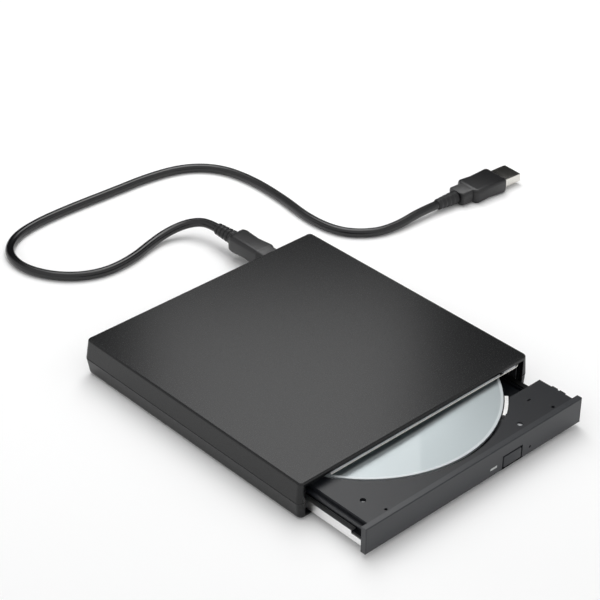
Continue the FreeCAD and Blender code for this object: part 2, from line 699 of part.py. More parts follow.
def tray_cuts(body):
    pocket(body, "disc_recess", [("0", "spindle_y", "recess_radius")], "recess_z", "tray_z + 1")
    pocket(body, "turntable_hole", [("0", "spindle_y", "turntable_radius + 2")], "deck_z - 1", "recess_z + 1")
    ends = (("13", "-sled_half - 0.5"), ("frame_reach - 5.2", "-sled_half - 0.5"),
            ("frame_reach - 5.2", "sled_half + 0.5"), ("13", "sled_half + 0.5"))
    pocket(body, "pickup_window", [[across_traverse(u, v) for u, v in ends]], "deck_z - 1", "recess_z + 1")
    pocket(body, "screw_pilots", [(x, y, "0.85") for x, y in TRAY_SCREWS], "skirt_z - 1", "tray_z - 1")
    pocket(body, "top_screw_hole", [(*TOP_SCREW, "0.85")], "deck_z - 3", "tray_z + 1")
    eyes = [(*TRAY_SCREWS[0], "1.3"), (*TOP_SCREW, "1.25")]
    pocket(body, "screw_eyes", eyes, "tray_z - 1.1", "tray_z + 1")
    marks = [("-48.9", "bezel_back + 1.7", "0.7"), ("50.7", "bezel_back + 2", "0.8"),
             rect("46", "48", "bezel_back + 11.8", "bezel_back + 12.5")]
    pocket(body, "top_marks", marks, "tray_z - 0.8", "tray_z + 1")
    damper_holes = [(*across_traverse(u, v), "1.05") for u, v in DAMPERS]
    pocket(body, "damper_pilots", damper_holes, "deck_z - 1", "deck_z + 1")
    strip = [(f"({r}) * cos({a})", f"spindle_y + ({r}) * sin({a})")
             for r, a in (("recess_radius - 3", "-44.6"), ("recess_radius + 0.8", "-44.6"),
                          ("recess_radius + 0.8", "-58.4"), ("recess_radius - 3", "-58.4"))]
    pocket(body, "edge_plate_seat", [strip], "recess_z", "tray_z + 1")
    openings = [rect("button_left - 1.2", "button_left + button_width + 1.2", "skirt_z - 1",
                     "drive_bottom + button_low + button_height + 1.2"),
                rect("window_left - 0.6", "window_left + window_width + 0.6",
                     "drive_bottom + window_level - 1.2", "drive_bottom + window_level + 1.2"),
                square("pinhole_x", "drive_bottom + window_level - 0.3", "1.6", "1.6")]
    pocket(body, "front_openings", openings, "bezel_back - 1", "bezel_back + 1.7", "XZ_Plane")
    slots = [rect("-31", "-11", "skirt_z - 1", "skirt_z + 0.6"),
             rect("0.9", "9", "skirt_z + 1.9", "skirt_z + 4")]
    pocket(body, "back_slots", slots, "tray_back - skirt_wall - 0.1", "tray_back + 1", "XZ_Plane")


def bezel():
    body = new_body("bezel")
    pad(body, "panel", [rect("-pan_side", "pan_side", "bezel_low", "drive_top")],
        "bezel_front", "bezel_back", "XZ_Plane")
    edge = value("bezel_front")
    dress(body, "Fillet", "front_edges", "0.5",
          lambda e: all(near(corner.Y, edge) for corner in e.Vertexes))
    low = "drive_bottom + button_low"
    button = rect("button_left - button_gap", "button_left + button_width + button_gap",
                  f"{low} - button_gap", f"{low} + button_height + button_gap")
    window = rect("window_left - 0.05", "window_left + window_width + 0.05",
                  "drive_bottom + window_level - window_height / 2 - 0.05",
                  "drive_bottom + window_level + window_height / 2 + 0.05")
    pinhole = ("pinhole_x", "drive_bottom + window_level - 0.3", "pinhole_radius")
    pocket(body, "openings", [button, window, pinhole], "bezel_front - 1", "bezel_back + 1", "XZ_Plane")


def eject_button():
    body = new_body("eject_button")
    low = "drive_bottom + button_low"
    face = rect("button_left", "button_left + button_width", low, f"{low} + button_height")
    pad(body, "cap", [face], "bezel_front - 0.15", "bezel_back + 0.8", "XZ_Plane")
    edge = value("bezel_front - 0.15")
    dress(body, "Fillet", "cap_edges", "0.4",
          lambda e: all(near(corner.Y, edge) for corner in e.Vertexes))
    flange = rect("button_left - 0.9", "button_left + button_width + 0.9", f"{low} + 0.2",
                  f"{low} + button_height + 0.9")
    pad(body, "flange", [flange], "bezel_back + 0.2", "bezel_back + 0.8", "XZ_Plane")


def tray_base():
    body = new_body("tray_bottom_cover")
    pad(body, "sheet", [tray_outline("-skirt_side + 1.5", "skirt_side - 1.5", "narrow_right", "bezel_back + 1.6",
                                     "wide_back", "tray_back - 0.5")], "base_z", "skirt_z")
    pocket(body, "screw_holes", [(x, y, "0.95") for x, y in TRAY_SCREWS], "base_z - 1", "skirt_z + 1")
    notch = rect("button_left - 1.2", "button_left + button_width + 1.2", "bezel_back", "bezel_back + 3")
    pocket(body, "button_notch", [notch], "base_z - 1", "skirt_z + 1")


def tray_fittings():
    lengths = ("tray_z - base_z - 1.1", "5", "5", "5")
    screws = [screw("tray_screw", x, y, "base_z", False, "0.8", length, "0.3")
              for (x, y), length in zip(TRAY_SCREWS, lengths)]
    screws.append(screw("board_screw", *TOP_SCREW, "tray_z - 1.1", True, "0.8", "tray_z - 1.1 - deck_z + 2.9",
                        "0.5", "1.15"))
    group("tray_screws", screws)
    window = section("window_left + window_width / 2", "drive_bottom + window_level", "window_width",
                     "window_height")
    keep(block("light_window", window[0], ("bezel_front - 0.05", "bezel_back + 0.9"), window[1]), "light_window")
    ring = without("edge_plate_ring", rod("edge_plate_outer", "z", ("0", "spindle_y"), "recess_z",
                                          "recess_z + 1.5", "recess_radius + 0.1"),
                   rod("edge_plate_inner", "z", ("0", "spindle_y"), "recess_z - 1", "recess_z + 2",
                       "recess_radius - 1.5"))
    wedge = DOC.addObject("Part::Cylinder", "edge_plate_wedge")
    bind(wedge, "Radius", "recess_radius + 5")
    bind(wedge, "Height", "drive_height")
    bind(wedge, "Angle", "13")
    bind(wedge, "Placement.Base.y", "spindle_y")
    bind(wedge, "Placement.Base.z", "deck_z")
    bind(wedge, "Placement.Rotation.Angle", "-58")
    segment = DOC.addObject("Part::Common", "edge_plate_body")
    segment.Base = ring
    segment.Tool = wedge
    keep(segment, "edge_plate")
    front = ("bezel_back + 2.1", "bezel_back + 9.9")
    board = block("front_board_sheet", ("4", "pinhole_x + 2.4"), front, ("deck_z - 2.7", "deck_z - 1.9"))
    hole = rod("front_board_hole", "z", TOP_SCREW, "deck_z - 4", "deck_z - 1", "0.85")
    keep(without("front_board", board, hole), "front_board")
    keep(block("eject_switch", ("button_left + 2.5", "button_left + 8.5"), ("bezel_back + 2.2", "bezel_back + 5.4"),
               ("deck_z - 6.1", "deck_z - 2.7")), "eject_switch")
    keep(block("indicator_led", ("window_left + 0.9", "window_left + 3.1"), ("bezel_back + 2.1", "bezel_back + 4.4"),
               ("deck_z - 4.5", "deck_z - 2.7")), "indicator_led")
    keep(block("tray_board", ("-44", "28"), ("tray_back - 16", "tray_back - 1.8"),
               ("tray_board_z", "tray_board_z + thin_board")), "tray_board")
    chips = [block("servo_chip", ("-30", "-20"), ("tray_back - 14", "tray_back - 4"),
                   ("tray_board_z + thin_board", "tray_board_z + thin_board + 1")),
             block("memory_chip", ("22", "27"), ("tray_back - 15", "tray_back - 11"),
                   ("tray_board_z + thin_board", "tray_board_z + thin_board + 1"))]
    group("tray_chips", chips)


def latch():
    """The hook behind the tray, its spring and the magnet that frees it."""
    x, y = LATCH_PIVOT
    top = "tray_board_z + thin_board + 2.2"
    low = "tray_board_z + thin_board + 0.8"
    plate = joined("latch_plate", rod("latch_hub", "z", LATCH_PIVOT, low, top, "2.6"),
                   block("latch_arm", ("2.2", "4.6"), (y, f"{y} + 20.9"), (low, top)),
                   block("latch_barb", ("4.5", "7.2"), (f"{y} + 19.3", f"{y} + 20.9"), (low, top)))
    bore = rod("latch_bore", "z", LATCH_PIVOT, f"{low} - 1", f"{top} + 1", "pivot_radius + running_gap")
    keep(without("latch_lever", plate, bore), "latch_lever")
    coil = without("latch_spring_ring", rod("spring_outer", "z", LATCH_PIVOT, f"{top} + 0.1", f"{top} + 1.3", "1.9"),
                   rod("spring_inner", "z", LATCH_PIVOT, top, f"{top} + 2", "pivot_radius + running_gap"))
    keep(coil, "latch_spring")
    keep(joined("latch_solenoid", block("solenoid_frame", ("-14", "-4"), ("tray_back - 13", "tray_back - 4"),
                                        ("tray_board_z + thin_board", "tray_board_z + thin_board + 4.4")),
                rod("solenoid_plunger", "x", ("tray_back - 8.5", f"{low} + 1.4"), "-5", "-1.5", "1")),
         "latch_solenoid")


# ---- the spindle and the pickup ----------------------------------------------------------------

def on_traverse(label, *solids):
    """Finish a sub-part drawn along +X from the spindle by turning it to the pickup's travel."""
    whole = group(label, solids)
    bind(whole, "Placement.Base.y", "spindle_y")
    bind(whole, "Placement.Rotation.Angle", "traverse_angle")
    return whole


def spindle():
    """What turns with the disc, and the motor's standing half under it."""
    hole = rod("disc_hole", "z", ("0", "spindle_y"), "disc_z - 1", "disc_z + 3", "disc_bore")
    plate = rod("disc_plate", "z", ("0", "spindle_y"), "disc_z", "disc_z + disc_thickness", "disc_radius")
    keep(without("optical_disc", plate, hole), "optical_disc")
    hub_radius = "disc_bore - hub_gap"
    table = joined("turntable_body",
                   rod("turntable_plate", "z", ("0", "spindle_y"), "disc_z - turntable_thickness", "disc_z",
                       "turntable_radius"),
                   rod("turntable_hub", "z", ("0", "spindle_y"), "disc_z - 0.1", "disc_z + hub_height - 0.5",
                       hub_radius),
                   cone("turntable_nose", "z", ("0", "spindle_y"), "disc_z + hub_height - 0.5",
                        "disc_z + hub_height", hub_radius, "disc_bore - 1"))
    bore = rod("turntable_bore", "z", ("0", "spindle_y"), "disc_z - 5", "disc_z + 0.3", "shaft_radius")
    pockets = [rod("claw_pocket", "z", claw_place(i), "disc_z + 0.2", "disc_z + 3", "1.3") for i in range(3)]
    keep(without("turntable", table, bore, *pockets), "turntable")
    group("disc_claws", [rod("disc_claw", "z", claw_place(i), "disc_z + 0.2", "disc_z + hub_height - 0.1", "1.2")
                         for i in range(3)])
    can_top = "disc_z - turntable_thickness"
    can = without("rotor_cup", rod("rotor_outer", "z", ("0", "spindle_y"), f"{can_top} - rotor_height", can_top,
                                   "rotor_radius"),
                  rod("rotor_inner", "z", ("0", "spindle_y"), f"{can_top} - rotor_height - 1", f"{can_top} - 0.6",
                      "rotor_radius - 0.6"),
                  rod("rotor_bore", "z", ("0", "spindle_y"), f"{can_top} - 1", f"{can_top} + 1", "shaft_radius"))
    keep(can, "rotor_can")
    keep(rod("spindle_shaft", "z", ("0", "spindle_y"), "drive_bottom + 2.9", "disc_z + 0.3", "shaft_radius"),
         "spindle_shaft")
    spindle_stator()


def claw_place(i):
    angle = 90 + 120 * i
    return f"(disc_bore - 2.4) * cos({angle})", f"spindle_y + (disc_bore - 2.4) * sin({angle})"


def spindle_stator():
    plate = block("motor_plate", ("-15", "9"), ("-14", "14"), ("drive_bottom + 2.7", "drive_bottom + 3.2"))
    posts = [rod("motor_post", "z", (u, v), "drive_bottom + 3.1", "frame_z", "1.5")
             for u in ("-12", "6.4") for v in ("-12.3", "12.3")]
    cup = rod("motor_cup", "z", ("0", "0"), "drive_bottom + 2.8", "drive_bottom + 6", "3")
    bore = rod("motor_bore", "z", ("0", "0"), "drive_bottom + 2.85", "drive_bottom + 9", "shaft_radius + running_gap")
    on_traverse("motor_base", without("motor_base_body", joined("motor_base_whole", plate, cup, *posts), bore))
    core = rod("stator_core", "z", ("0", "0"), "drive_bottom + 4", "drive_bottom + 6.9", "9.4")
    bore = rod("stator_bore", "z", ("0", "0"), "drive_bottom + 3", "drive_bottom + 8", "3.02")
    slots = []
    for i in range(9):
        angle = 40 * i
        slots.append(rod("stator_slot", "z", (f"7.4 * cos({angle})", f"7.4 * sin({angle})"),
                         "drive_bottom + 3", "drive_bottom + 8", "1"))
    on_traverse("spindle_stator", without("stator_body", core, bore, *slots))


def traverse_frame():
    plate = block("frame_plate", ("-frame_back", "frame_reach"), ("-frame_half", "frame_half"),
                  ("frame_z", "frame_z + frame_thickness"))
    tab = block("frame_tab", ("11", "57"), ("frame_half - 1", "screw_offset + 2.5"),
                ("frame_z", "frame_z + frame_thickness"))
    ends = [block("rod_end", (u, f"{u} + 2.4"), (f"{v} - 1.8", f"{v} + 1.8"), ("rod_z - 1.6", "frame_z + 0.1"))
            for u in ("10.4", "frame_reach - 2.8") for v in ("-rod_offset", "rod_offset")]
    screw_end = block("screw_end", ("54.2", "56.6"), ("screw_offset - 1.9", "screw_offset + 2.1"),
                      ("rod_z - 1.7", "frame_z + 0.1"))
    window = block("frame_window", ("13.2", "frame_reach - 5.2"), ("-sled_half - 0.7", "sled_half + 0.7"),
                   ("frame_z - 5", "frame_z + 5"))
    motor_hole = rod("frame_hole", "z", ("0", "0"), "frame_z - 5", "frame_z + 5", "rotor_radius + 1.2")
    motor_side = block("frame_motor_side", ("-8", "10.2"), ("14.6", "frame_half + 1"), ("frame_z - 5", "frame_z + 5"))
    holes = [rod("frame_rod_hole", "x", (v, "rod_z"), "9", "frame_reach + 1", "rod_radius + 0.02")
             for v in ("-rod_offset", "rod_offset")]
    holes.append(rod("frame_screw_hole", "x", ("screw_offset", "rod_z"), "54", "56", "lead_screw_radius + running_gap"))
    grommets = [rod("grommet_hole", "z", place, "frame_z - 5", "frame_z + 5", "1.9") for place in DAMPERS]
    solid = joined("frame_solid", plate, tab, screw_end, *ends)
    on_traverse("traverse_frame", without("frame_body", solid, window, motor_hole, motor_side, *holes, *grommets))


def traverse_fittings():
    rods = [rod("guide_rod", "x", (v, "rod_z"), "10.6", "frame_reach - 0.6", "rod_radius")
            for v in ("-rod_offset", "rod_offset")]
    on_traverse("guide_rods", *rods)
    dampers = []
    screws = []
    for u, v in DAMPERS:
        waist = rod("damper_waist", "z", (u, v), "frame_z - 0.8", "deck_z - 0.05", "1.85")
        foot = rod("damper_foot", "z", (u, v), "frame_z - 0.8", "frame_z - 0.05", "2.4")
        bore = rod("damper_bore", "z", (u, v), "frame_z - 2", "deck_z + 1", "1.05")
        dampers.append(without("damper", joined("damper_body", waist, foot), bore))
        screws.append(screw("damper_screw", u, v, "frame_z - 0.85", False, "1", "deck_z - frame_z + 1.6",
                            "0.7", "1.7"))
    on_traverse("dampers", *dampers)
    on_traverse("damper_screws", *screws)
    can = rod("feed_can", "x", ("screw_offset", "rod_z"), "-6.5", "9.5", "feed_motor_radius")
    flange = block("feed_flange", ("9.4", "10.1"), ("screw_offset - 3.5", "screw_offset + 2.6"),
                   ("rod_z - 2.4", "frame_z + 0.2"))
    nose = rod("feed_nose", "x", ("screw_offset", "rod_z"), "10", "11", "1.5")
    tab = block("feed_tab", ("9.4", "11.9"), ("screw_offset - 1.5", "screw_offset + 2"), ("frame_z - 0.3", "frame_z"))
    on_traverse("feed_motor", joined("feed_motor_body", can, flange, nose, tab))
    shaft = rod("lead_screw_core", "x", ("screw_offset", "rod_z"), "11.1", "55.9", "lead_screw_radius - 0.3")
    threads = [rod("lead_screw_thread", "x", ("screw_offset", "rod_z"), f"12 + {3 * i}", f"13.5 + {3 * i}",
                   "lead_screw_radius") for i in range(14)]
    journal = rod("lead_screw_journal", "x", ("screw_offset", "rod_z"), "53.8", "55.9", "lead_screw_radius")
    on_traverse("lead_screw", joined("lead_screw_body", shaft, journal, *threads))


def pickup():
    """The sled at its rest place, with the lens carrier floating in its pocket."""
    at = "sled_rest"
    side = "sled_half"
    main = block("sled_main", (f"{at} - 9", f"{at} + 5.2"), (f"-{side}", side), ("drive_bottom + 3.3", "drive_bottom + 7.7"))
    arms = [block("sled_arm", (f"{at} - 5", f"{at} + 4"), ends, ("rod_z - 1.5", "rod_z + 1.5"))
            for ends in ((f"{side} - 0.5", "rod_offset + 1.9"), ("-rod_offset - 1.9", f"-{side} + 0.5"))]
    bores = [rod("sled_bore", "x", (v, "rod_z"), f"{at} - 20", f"{at} + 20", "rod_radius + running_gap")
             for v in ("-rod_offset", "rod_offset")]
    well = block("sled_well", (f"{at} - 4.5", f"{at} + 4.5"), ("-5.5", "5.5"), ("drive_bottom + 6.1", "drive_bottom + 9"))
    on_traverse("pickup_sled", without("sled_body", joined("sled_solid", main, *arms), well, *bores))
    nut = block("nut_block", (f"{at} - 6.5", f"{at} - 1.5"), ("rod_offset + 1.9", "screw_offset - lead_screw_radius - 0.05"),
                ("rod_z - 1", "rod_z + 1"))
    on_traverse("feed_nut", nut)
    on_traverse("lens_carrier", block("carrier_block", (f"{at} - 4", f"{at} + 4"), ("-5", "5"),
                                      ("drive_bottom + 6.6", "drive_bottom + 8.2")))
    lens = joined("lens_glass", rod("lens_rim", "z", (at, "0"), "drive_bottom + 8.2", "drive_bottom + 8.5", "2.4"),
                  cone("lens_dome", "z", (at, "0"), "drive_bottom + 8.5", "drive_bottom + 8.9", "2.2", "1.2"))
    on_traverse("objective_lens", lens)


# ---- the cable ---------------------------------------------------------------------------------

# The cable's middle line seen from above, measured from the end of the drive plug's relief: on
# behind the drive, round a loop and along to the computer's plug.
ROUTE = (
    (0.0, 0.0), (0.0, 7.0), (-2.9, 13.3), (-8.2, 17.8), (-16.0, 20.0), (-26.0, 19.2), (-41.5, 14.8),
    (-57.5, 13.8), (-70.3, 18.8), (-80.4, 29.2), (-86.0, 43.7), (-83.5, 58.7), (-73.0, 68.7),
    (-56.5, 72.8), (-34.5, 73.2), (-9.5, 72.0), (14.5, 71.4), (34.5, 66.8), (47.7, 54.2), (52.1, 34.2),
    (51.1, 9.2), (47.1, -15.3), (49.9, -35.1), (61.9, -46.6), (75.5, -49.4), (90.5, -49.2),
    (102.5, -50.0),
)
# Its height there, as a share of the way up from lying flat to the plug's level at either end.
FALL = (1.0, 1.0, 0.86, 0.58, 0.29, 0.08)
CLIMB = (0.2, 1.0, 1.0)


def route_points():
    """The middle line in space."""
    flat = value("cable_diameter / 2 - foot_height + 0.05")
    drive_end = value("socket_z") - flat
    host_end = value("host_plug_height / 2 - foot_height + 0.05") - flat
    points = []
    for i, (x, y) in enumerate(ROUTE):
        z = flat
        if i < len(FALL):
            z += FALL[i] * drive_end
        from_end = i - len(ROUTE) + len(CLIMB)
        if from_end >= 0:
            z += CLIMB[from_end] * host_end
        points.append(Vector(value("socket_x") + x, value("relief_end") + y, z))
    return points


def bend_radius(before, corner, after):
    """The largest arc that two runs leave room for, and the length of each run that it takes."""
    first = corner - before
    second = after - corner
    half_turn = first.getAngle(second) / 2
    reach = 0.45 * min(first.Length, second.Length)
    return reach / math.tan(half_turn), reach


def cable_path(points):
    """Straight runs joined by tangent arcs, as one wire, with the arcs' radii."""
    edges = []
    radii = []
    start = points[0]
    for before, corner, after in zip(points, points[1:], points[2:]):
        radius, reach = bend_radius(before, corner, after)
        radii.append(radius)
        way_in = (corner - before).normalize()
        way_out = (after - corner).normalize()
        enter = corner - way_in * reach
        leave = corner + way_out * reach
        inward = (way_out - way_in).normalize()
        from_corner = math.hypot(radius, reach) - radius
        edges.append(Part.LineSegment(start, enter).toShape())
        edges.append(Part.Arc(enter, corner + inward * from_corner, leave).toShape())
        start = leave
    edges.append(Part.LineSegment(start, points[-1]).toShape())
    return Part.Wire(edges), radii


def cable():
    points = route_points()
    path, radii = cable_path(points)
    radius = value("cable_diameter / 2")
    section_ring = Part.Circle(points[0], points[1] - points[0], radius).toShape()
    tube = path.makePipeShell([Part.Wire([section_ring])], True, True)
    feature = DOC.addObject("Part::Feature", "cable")
    feature.Shape = tube
    expected = math.pi * radius ** 2 * path.Length
    print("cable length", round(path.Length, 1), "volume over section x length", round(tube.Volume / expected, 4))
    print("cable bend radii", [round(r, 1) for r in radii])
    keep(feature, "cable")


def drive_plug():
    """The plug in the back of the case: metal nose, moulded collar and grip, ribbed relief."""
    nose_end = "socket_mouth - 6.3"
    width = "socket_width - 2 * socket_wall - 2 * plug_gap"
    height = "socket_height - 2 * socket_wall - 2 * plug_gap"
    across, up = section("socket_x", "socket_z", width, height)
    shell = block("nose_shell", across, (nose_end, "plug_face"), up)
    across, up = section("socket_x", "socket_z", f"{width} - 2 * socket_wall", f"{height} - 2 * socket_wall")
    hollow = block("nose_hollow", across, (f"{nose_end} - 1", "plug_face - 1.2"), up)
    keep(without("plug_nose", shell, hollow), "plug_nose")
    body = new_body("plug_grip")
    collar = square("socket_x", "socket_z", "grip_width - 1.6", "grip_height - 1.2")
    pad(body, "collar", [collar], "plug_face", "plug_face + collar_length + 0.1", "XZ_Plane")
    grip = square("socket_x", "socket_z", "grip_width", "grip_height")
    pad(body, "grip", [grip], "plug_face + collar_length", "grip_back", "XZ_Plane")
    dress(body, "Fillet", "grip_edges", "1.4",
          lambda e: e.BoundBox.YMax - e.BoundBox.YMin > 0.9 * e.Length and e.Length > 5)
    relief("plug_relief", ("socket_x", "socket_z"), "grip_back")


def relief(label, centre, start):
    """A tapered, ribbed sleeve along +Y that ends where the cable begins."""
    ribs = 4
    solids = [cone(label + "_core", "y", centre, start, f"{start} + relief_length", "3.3", "cable_diameter / 2 + 0.35")]
    for i in range(ribs):
        low = f"{start} + {i} * relief_length / {ribs} + 0.8"
        solids.append(rod(label + "_rib", "y", centre, low, f"{low} + 2", f"{4.1 - 0.3 * i}"))
    return keep(joined(label + "_body", *solids), label)


def host_plug():
    """The computer's plug, drawn along +Y from the cable's end and turned on to its last run."""
    before, end = route_points()[-2:]
    run = end - before
    yaw = math.degrees(math.atan2(-run.x, run.y))
    flat_run = FreeCAD.Placement(end, FreeCAD.Rotation(Vector(0, 0, 1), yaw))
    centre = ("0", "0")
    sleeve = [cone("host_relief_core", "y", centre, "0", "relief_length", "cable_diameter / 2 + 0.35", "3.3")]
    for i in range(4):
        low = f"{i} * relief_length / 4 + 0.6"
        sleeve.append(rod("host_relief_rib", "y", centre, low, f"{low} + 2", f"{3.2 + 0.2 * i}"))
    back = "relief_length"
    front = "relief_length + host_plug_length"
    width = "host_plug_width"
    height = "host_plug_height"
    across, up = section("0", "0", width, height)
    grip = block("host_body", across, (f"{back} + 8", front), up)
    across, up = section("0", "0", f"{width} - 5", f"{height} - 0.8")
    neck = block("host_neck", across, (back, f"{back} + 8.1"), up)
    across, up = section("0", "0", "host_shell_width", "host_shell_height")
    metal = block("host_metal", across, (front, f"{front} + host_shell_length"), up)
    inner_width = "host_shell_width - 2 * socket_wall"
    inner_height = "host_shell_height - 2 * socket_wall"
    across, up = section("0", "0", inner_width, inner_height)
    hollow = block("host_hollow", across, (f"{front} + 0.6", f"{front} + host_shell_length + 1"), up)
    low = f"-({inner_height}) / 2 + 0.02"
    insert = block("host_tongue", section("0", "0", f"{inner_width} - 0.04", "1")[0],
                   (f"{front} + 0.62", f"{front} + host_shell_length - 0.3"), (low, f"{low} + 1.8"))
    for label, solids in (("host_relief", sleeve), ("host_grip", [grip, neck]),
                          ("host_shell", [without("host_tube", metal, hollow)]), ("host_insert", [insert])):
        whole = joined(label + "_body", *solids) if len(solids) > 1 else solids[0]
        group(label, [whole]).Placement = flat_run


# ---- the whole ---------------------------------------------------------------------------------

def build():
    top_shell()
    bottom_shell()
    case_fittings()
    chassis_pan()
    chassis_cover()
    for side, sign in SIDES:
        rail_guide(side, sign)
        rail(side, sign)
    chassis_fittings()
    adapter()
    tray_frame()
    bezel()
    eject_button()
    tray_base()
    tray_fittings()
    latch()
    spindle()
    traverse_frame()
    traverse_fittings()
    pickup()
    drive_plug()
    host_plug()
    cable()
    DOC.recompute()


def check():
    """Stop if anything failed to build or if a pocket cut nothing."""
    for feature in DOC.Objects:
        if {"Invalid", "Error"} & set(feature.State):
            raise RuntimeError(f"{feature.Label} failed: {feature.State}")
        if feature.TypeId == "PartDesign::Pocket":
            if feature.Shape.Volume > feature.BaseFeature.Shape.Volume - 0.01:
                raise RuntimeError(f"{feature.Label} in {feature.getParentGeoFeatureGroup().Label} cuts nothing")
    for piece in PIECES:
        if piece.Shape.isNull() or not piece.Shape.isValid():
            raise RuntimeError(f"{piece.Label} has no valid shape")


def write():
    os.makedirs("parts", exist_ok=True)
    for piece in PIECES:
        piece.Shape.exportStep(f"parts/{piece.Label}.step")
    print(len(PIECES), "sub-parts written")


build()
check()
write()
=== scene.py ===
"""An external optical drive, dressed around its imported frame: a moulded black case, a graphite tray
with its disc, and a glossy cable that lies in a loop and ends in a computer plug.

Run as a script, each operator makes one piece or one group of like pieces."""

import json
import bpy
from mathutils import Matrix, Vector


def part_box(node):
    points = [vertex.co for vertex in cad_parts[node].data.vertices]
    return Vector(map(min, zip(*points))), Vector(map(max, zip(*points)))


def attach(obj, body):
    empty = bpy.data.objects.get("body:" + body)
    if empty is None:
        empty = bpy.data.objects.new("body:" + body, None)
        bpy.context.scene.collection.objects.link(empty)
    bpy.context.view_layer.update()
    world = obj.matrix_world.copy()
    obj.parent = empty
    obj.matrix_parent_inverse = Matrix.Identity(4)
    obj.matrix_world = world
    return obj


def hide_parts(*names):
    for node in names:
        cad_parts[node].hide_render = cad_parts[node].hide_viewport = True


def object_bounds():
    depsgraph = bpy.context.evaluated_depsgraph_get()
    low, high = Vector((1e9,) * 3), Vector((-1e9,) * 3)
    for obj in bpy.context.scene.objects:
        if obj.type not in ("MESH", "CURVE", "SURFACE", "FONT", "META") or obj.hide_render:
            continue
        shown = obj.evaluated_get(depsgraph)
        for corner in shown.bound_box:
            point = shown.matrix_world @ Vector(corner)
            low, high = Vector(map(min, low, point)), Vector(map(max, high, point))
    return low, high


bl_info = {
    "name": "Optical drive",
    "version": (1, 0, 0),
    "blender": (4, 5, 0),
    "location": "3D View > Sidebar > Optical drive",
    "description": "Builds an external optical drive, its cable and a studio round the packed frame",
    "category": "Object",
}

from math import cos, pi, radians, sin

import bmesh
import bpy
from bpy.props import FloatProperty, FloatVectorProperty, IntProperty, PointerProperty
from mathutils import Matrix, Vector

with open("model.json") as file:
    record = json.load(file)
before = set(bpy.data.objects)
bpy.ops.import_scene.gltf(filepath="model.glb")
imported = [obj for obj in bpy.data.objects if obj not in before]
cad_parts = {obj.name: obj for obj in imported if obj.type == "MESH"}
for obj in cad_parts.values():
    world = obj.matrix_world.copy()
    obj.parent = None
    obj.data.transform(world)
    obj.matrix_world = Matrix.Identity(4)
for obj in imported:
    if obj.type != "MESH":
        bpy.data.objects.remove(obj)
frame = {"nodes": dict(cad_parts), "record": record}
CAD_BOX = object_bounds()
MM = 0.001  # a millimetre in metres


def node_box(name):
    """A CAD node's lowest and highest corners at rest."""
    low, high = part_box(name)
    return Vector(low), Vector(high)


# ---- settings ----------------------------------------------------------------------------------

def srgb(code):
    """A hex colour as the linear values that shaders take."""
    levels = [int(code[i:i + 2], 16) / 255 for i in (1, 3, 5)]
    return tuple(v / 12.92 if v <= 0.04045 else ((v + 0.055) / 1.055) ** 2.4 for v in levels)


def colour(label, code, text):
    """A colour setting, from its sRGB hex value."""
    return FloatVectorProperty(name=label, description=text, default=srgb(code), subtype="COLOR",
                               size=3, min=0, max=1)


def length(label, amount, text):
    """A length setting, from millimetres."""
    return FloatProperty(name=label, description=text, default=amount * MM, unit="LENGTH", min=0,
                         precision=5)


class DriveCase(bpy.types.PropertyGroup):
    """The case and the tray."""
    case: colour("Case", "#0c0d0e", "Moulded shells")
    tray: colour("Tray", "#15171b", "Tray moulding")
    bezel: colour("Bezel", "#232529", "Front panel and button")
    rubber: colour("Feet", "#151516", "Rubber feet")
    grain: length("Moulded grain", 0.45, "Spacing of the texture moulded into the plastic")


class DriveDisc(bpy.types.PropertyGroup):
    """The disc."""
    metal: colour("Metal layer", "#acb4b6", "Mirror layer seen through the plastic")
    # The clear rim's light tone is painted light: the bright line along the disc's clear edge.
    rim: colour("Clear rim", "#c2c8ca", "Clear plastic outside the metal layer")
    rim_width: length("Rim width", 1.1, "Clear plastic outside the metal layer")


class DriveCable(bpy.types.PropertyGroup):
    """The cable and its plugs."""
    jacket: colour("Jacket", "#0b0b0d", "Extruded cable jacket")
    grip: colour("Plugs", "#0e0e10", "Moulded plugs and strain reliefs")
    diameter: length("Diameter", 4.5, "Cable from side to side")
    rib_count: IntProperty(name="Relief ribs", description="Ribs on each strain relief", default=5,
                           min=2, max=9)


class DriveStudio(bpy.types.PropertyGroup):
    """The floor, the lights and the camera."""
    floor: colour("Floor", "#fafafa", "Plain pale floor")
    azimuth: FloatProperty(name="Azimuth", description="Camera's direction round the object",
                           default=radians(-43.171), subtype="ANGLE")
    elevation: FloatProperty(name="Elevation", description="Camera's height as an angle",
                             default=radians(33.239), subtype="ANGLE")
    roll: FloatProperty(name="Roll", description="Camera's turn about its own axis",
                        default=radians(0.595), subtype="ANGLE")
    distance: length("Distance", 894.464, "Camera from the point that it looks at")
    overhead_power: FloatProperty(name="Overhead light", description="Large soft light above",
                                  default=14.0, min=0)
    sheen_power: FloatProperty(name="Sheen light", default=0.2, min=0,
                               description="Small soft light seen in the case's top")
    side_power: FloatProperty(name="Side light", default=0.2, min=0,
                              description="Soft light on the case's left side")


# ---- meshes ------------------------------------------------------------------------------------

def add_piece(name, mesh, body, slot, stands_for=None):
    """Put a finished mesh in the scene as a piece that rides on a body of the frame."""
    piece = bpy.data.objects.new(name, mesh)
    bpy.context.scene.collection.objects.link(piece)
    mesh.materials.clear()
    mesh.materials.append(MATERIALS[slot])
    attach(piece, body)
    if stands_for:
        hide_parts(stands_for)


def finish_mesh(work, name, smooth=True):
    """Turn a bmesh into a mesh with its faces outwards."""
    bmesh.ops.recalc_face_normals(work, faces=work.faces)
    for face in work.faces:
        face.smooth = smooth
    mesh = bpy.data.meshes.new(name)
    work.to_mesh(mesh)
    work.free()
    return mesh


def add_ring(work, points):
    """New vertices at the points, in their order."""
    return [work.verts.new(p) for p in points]


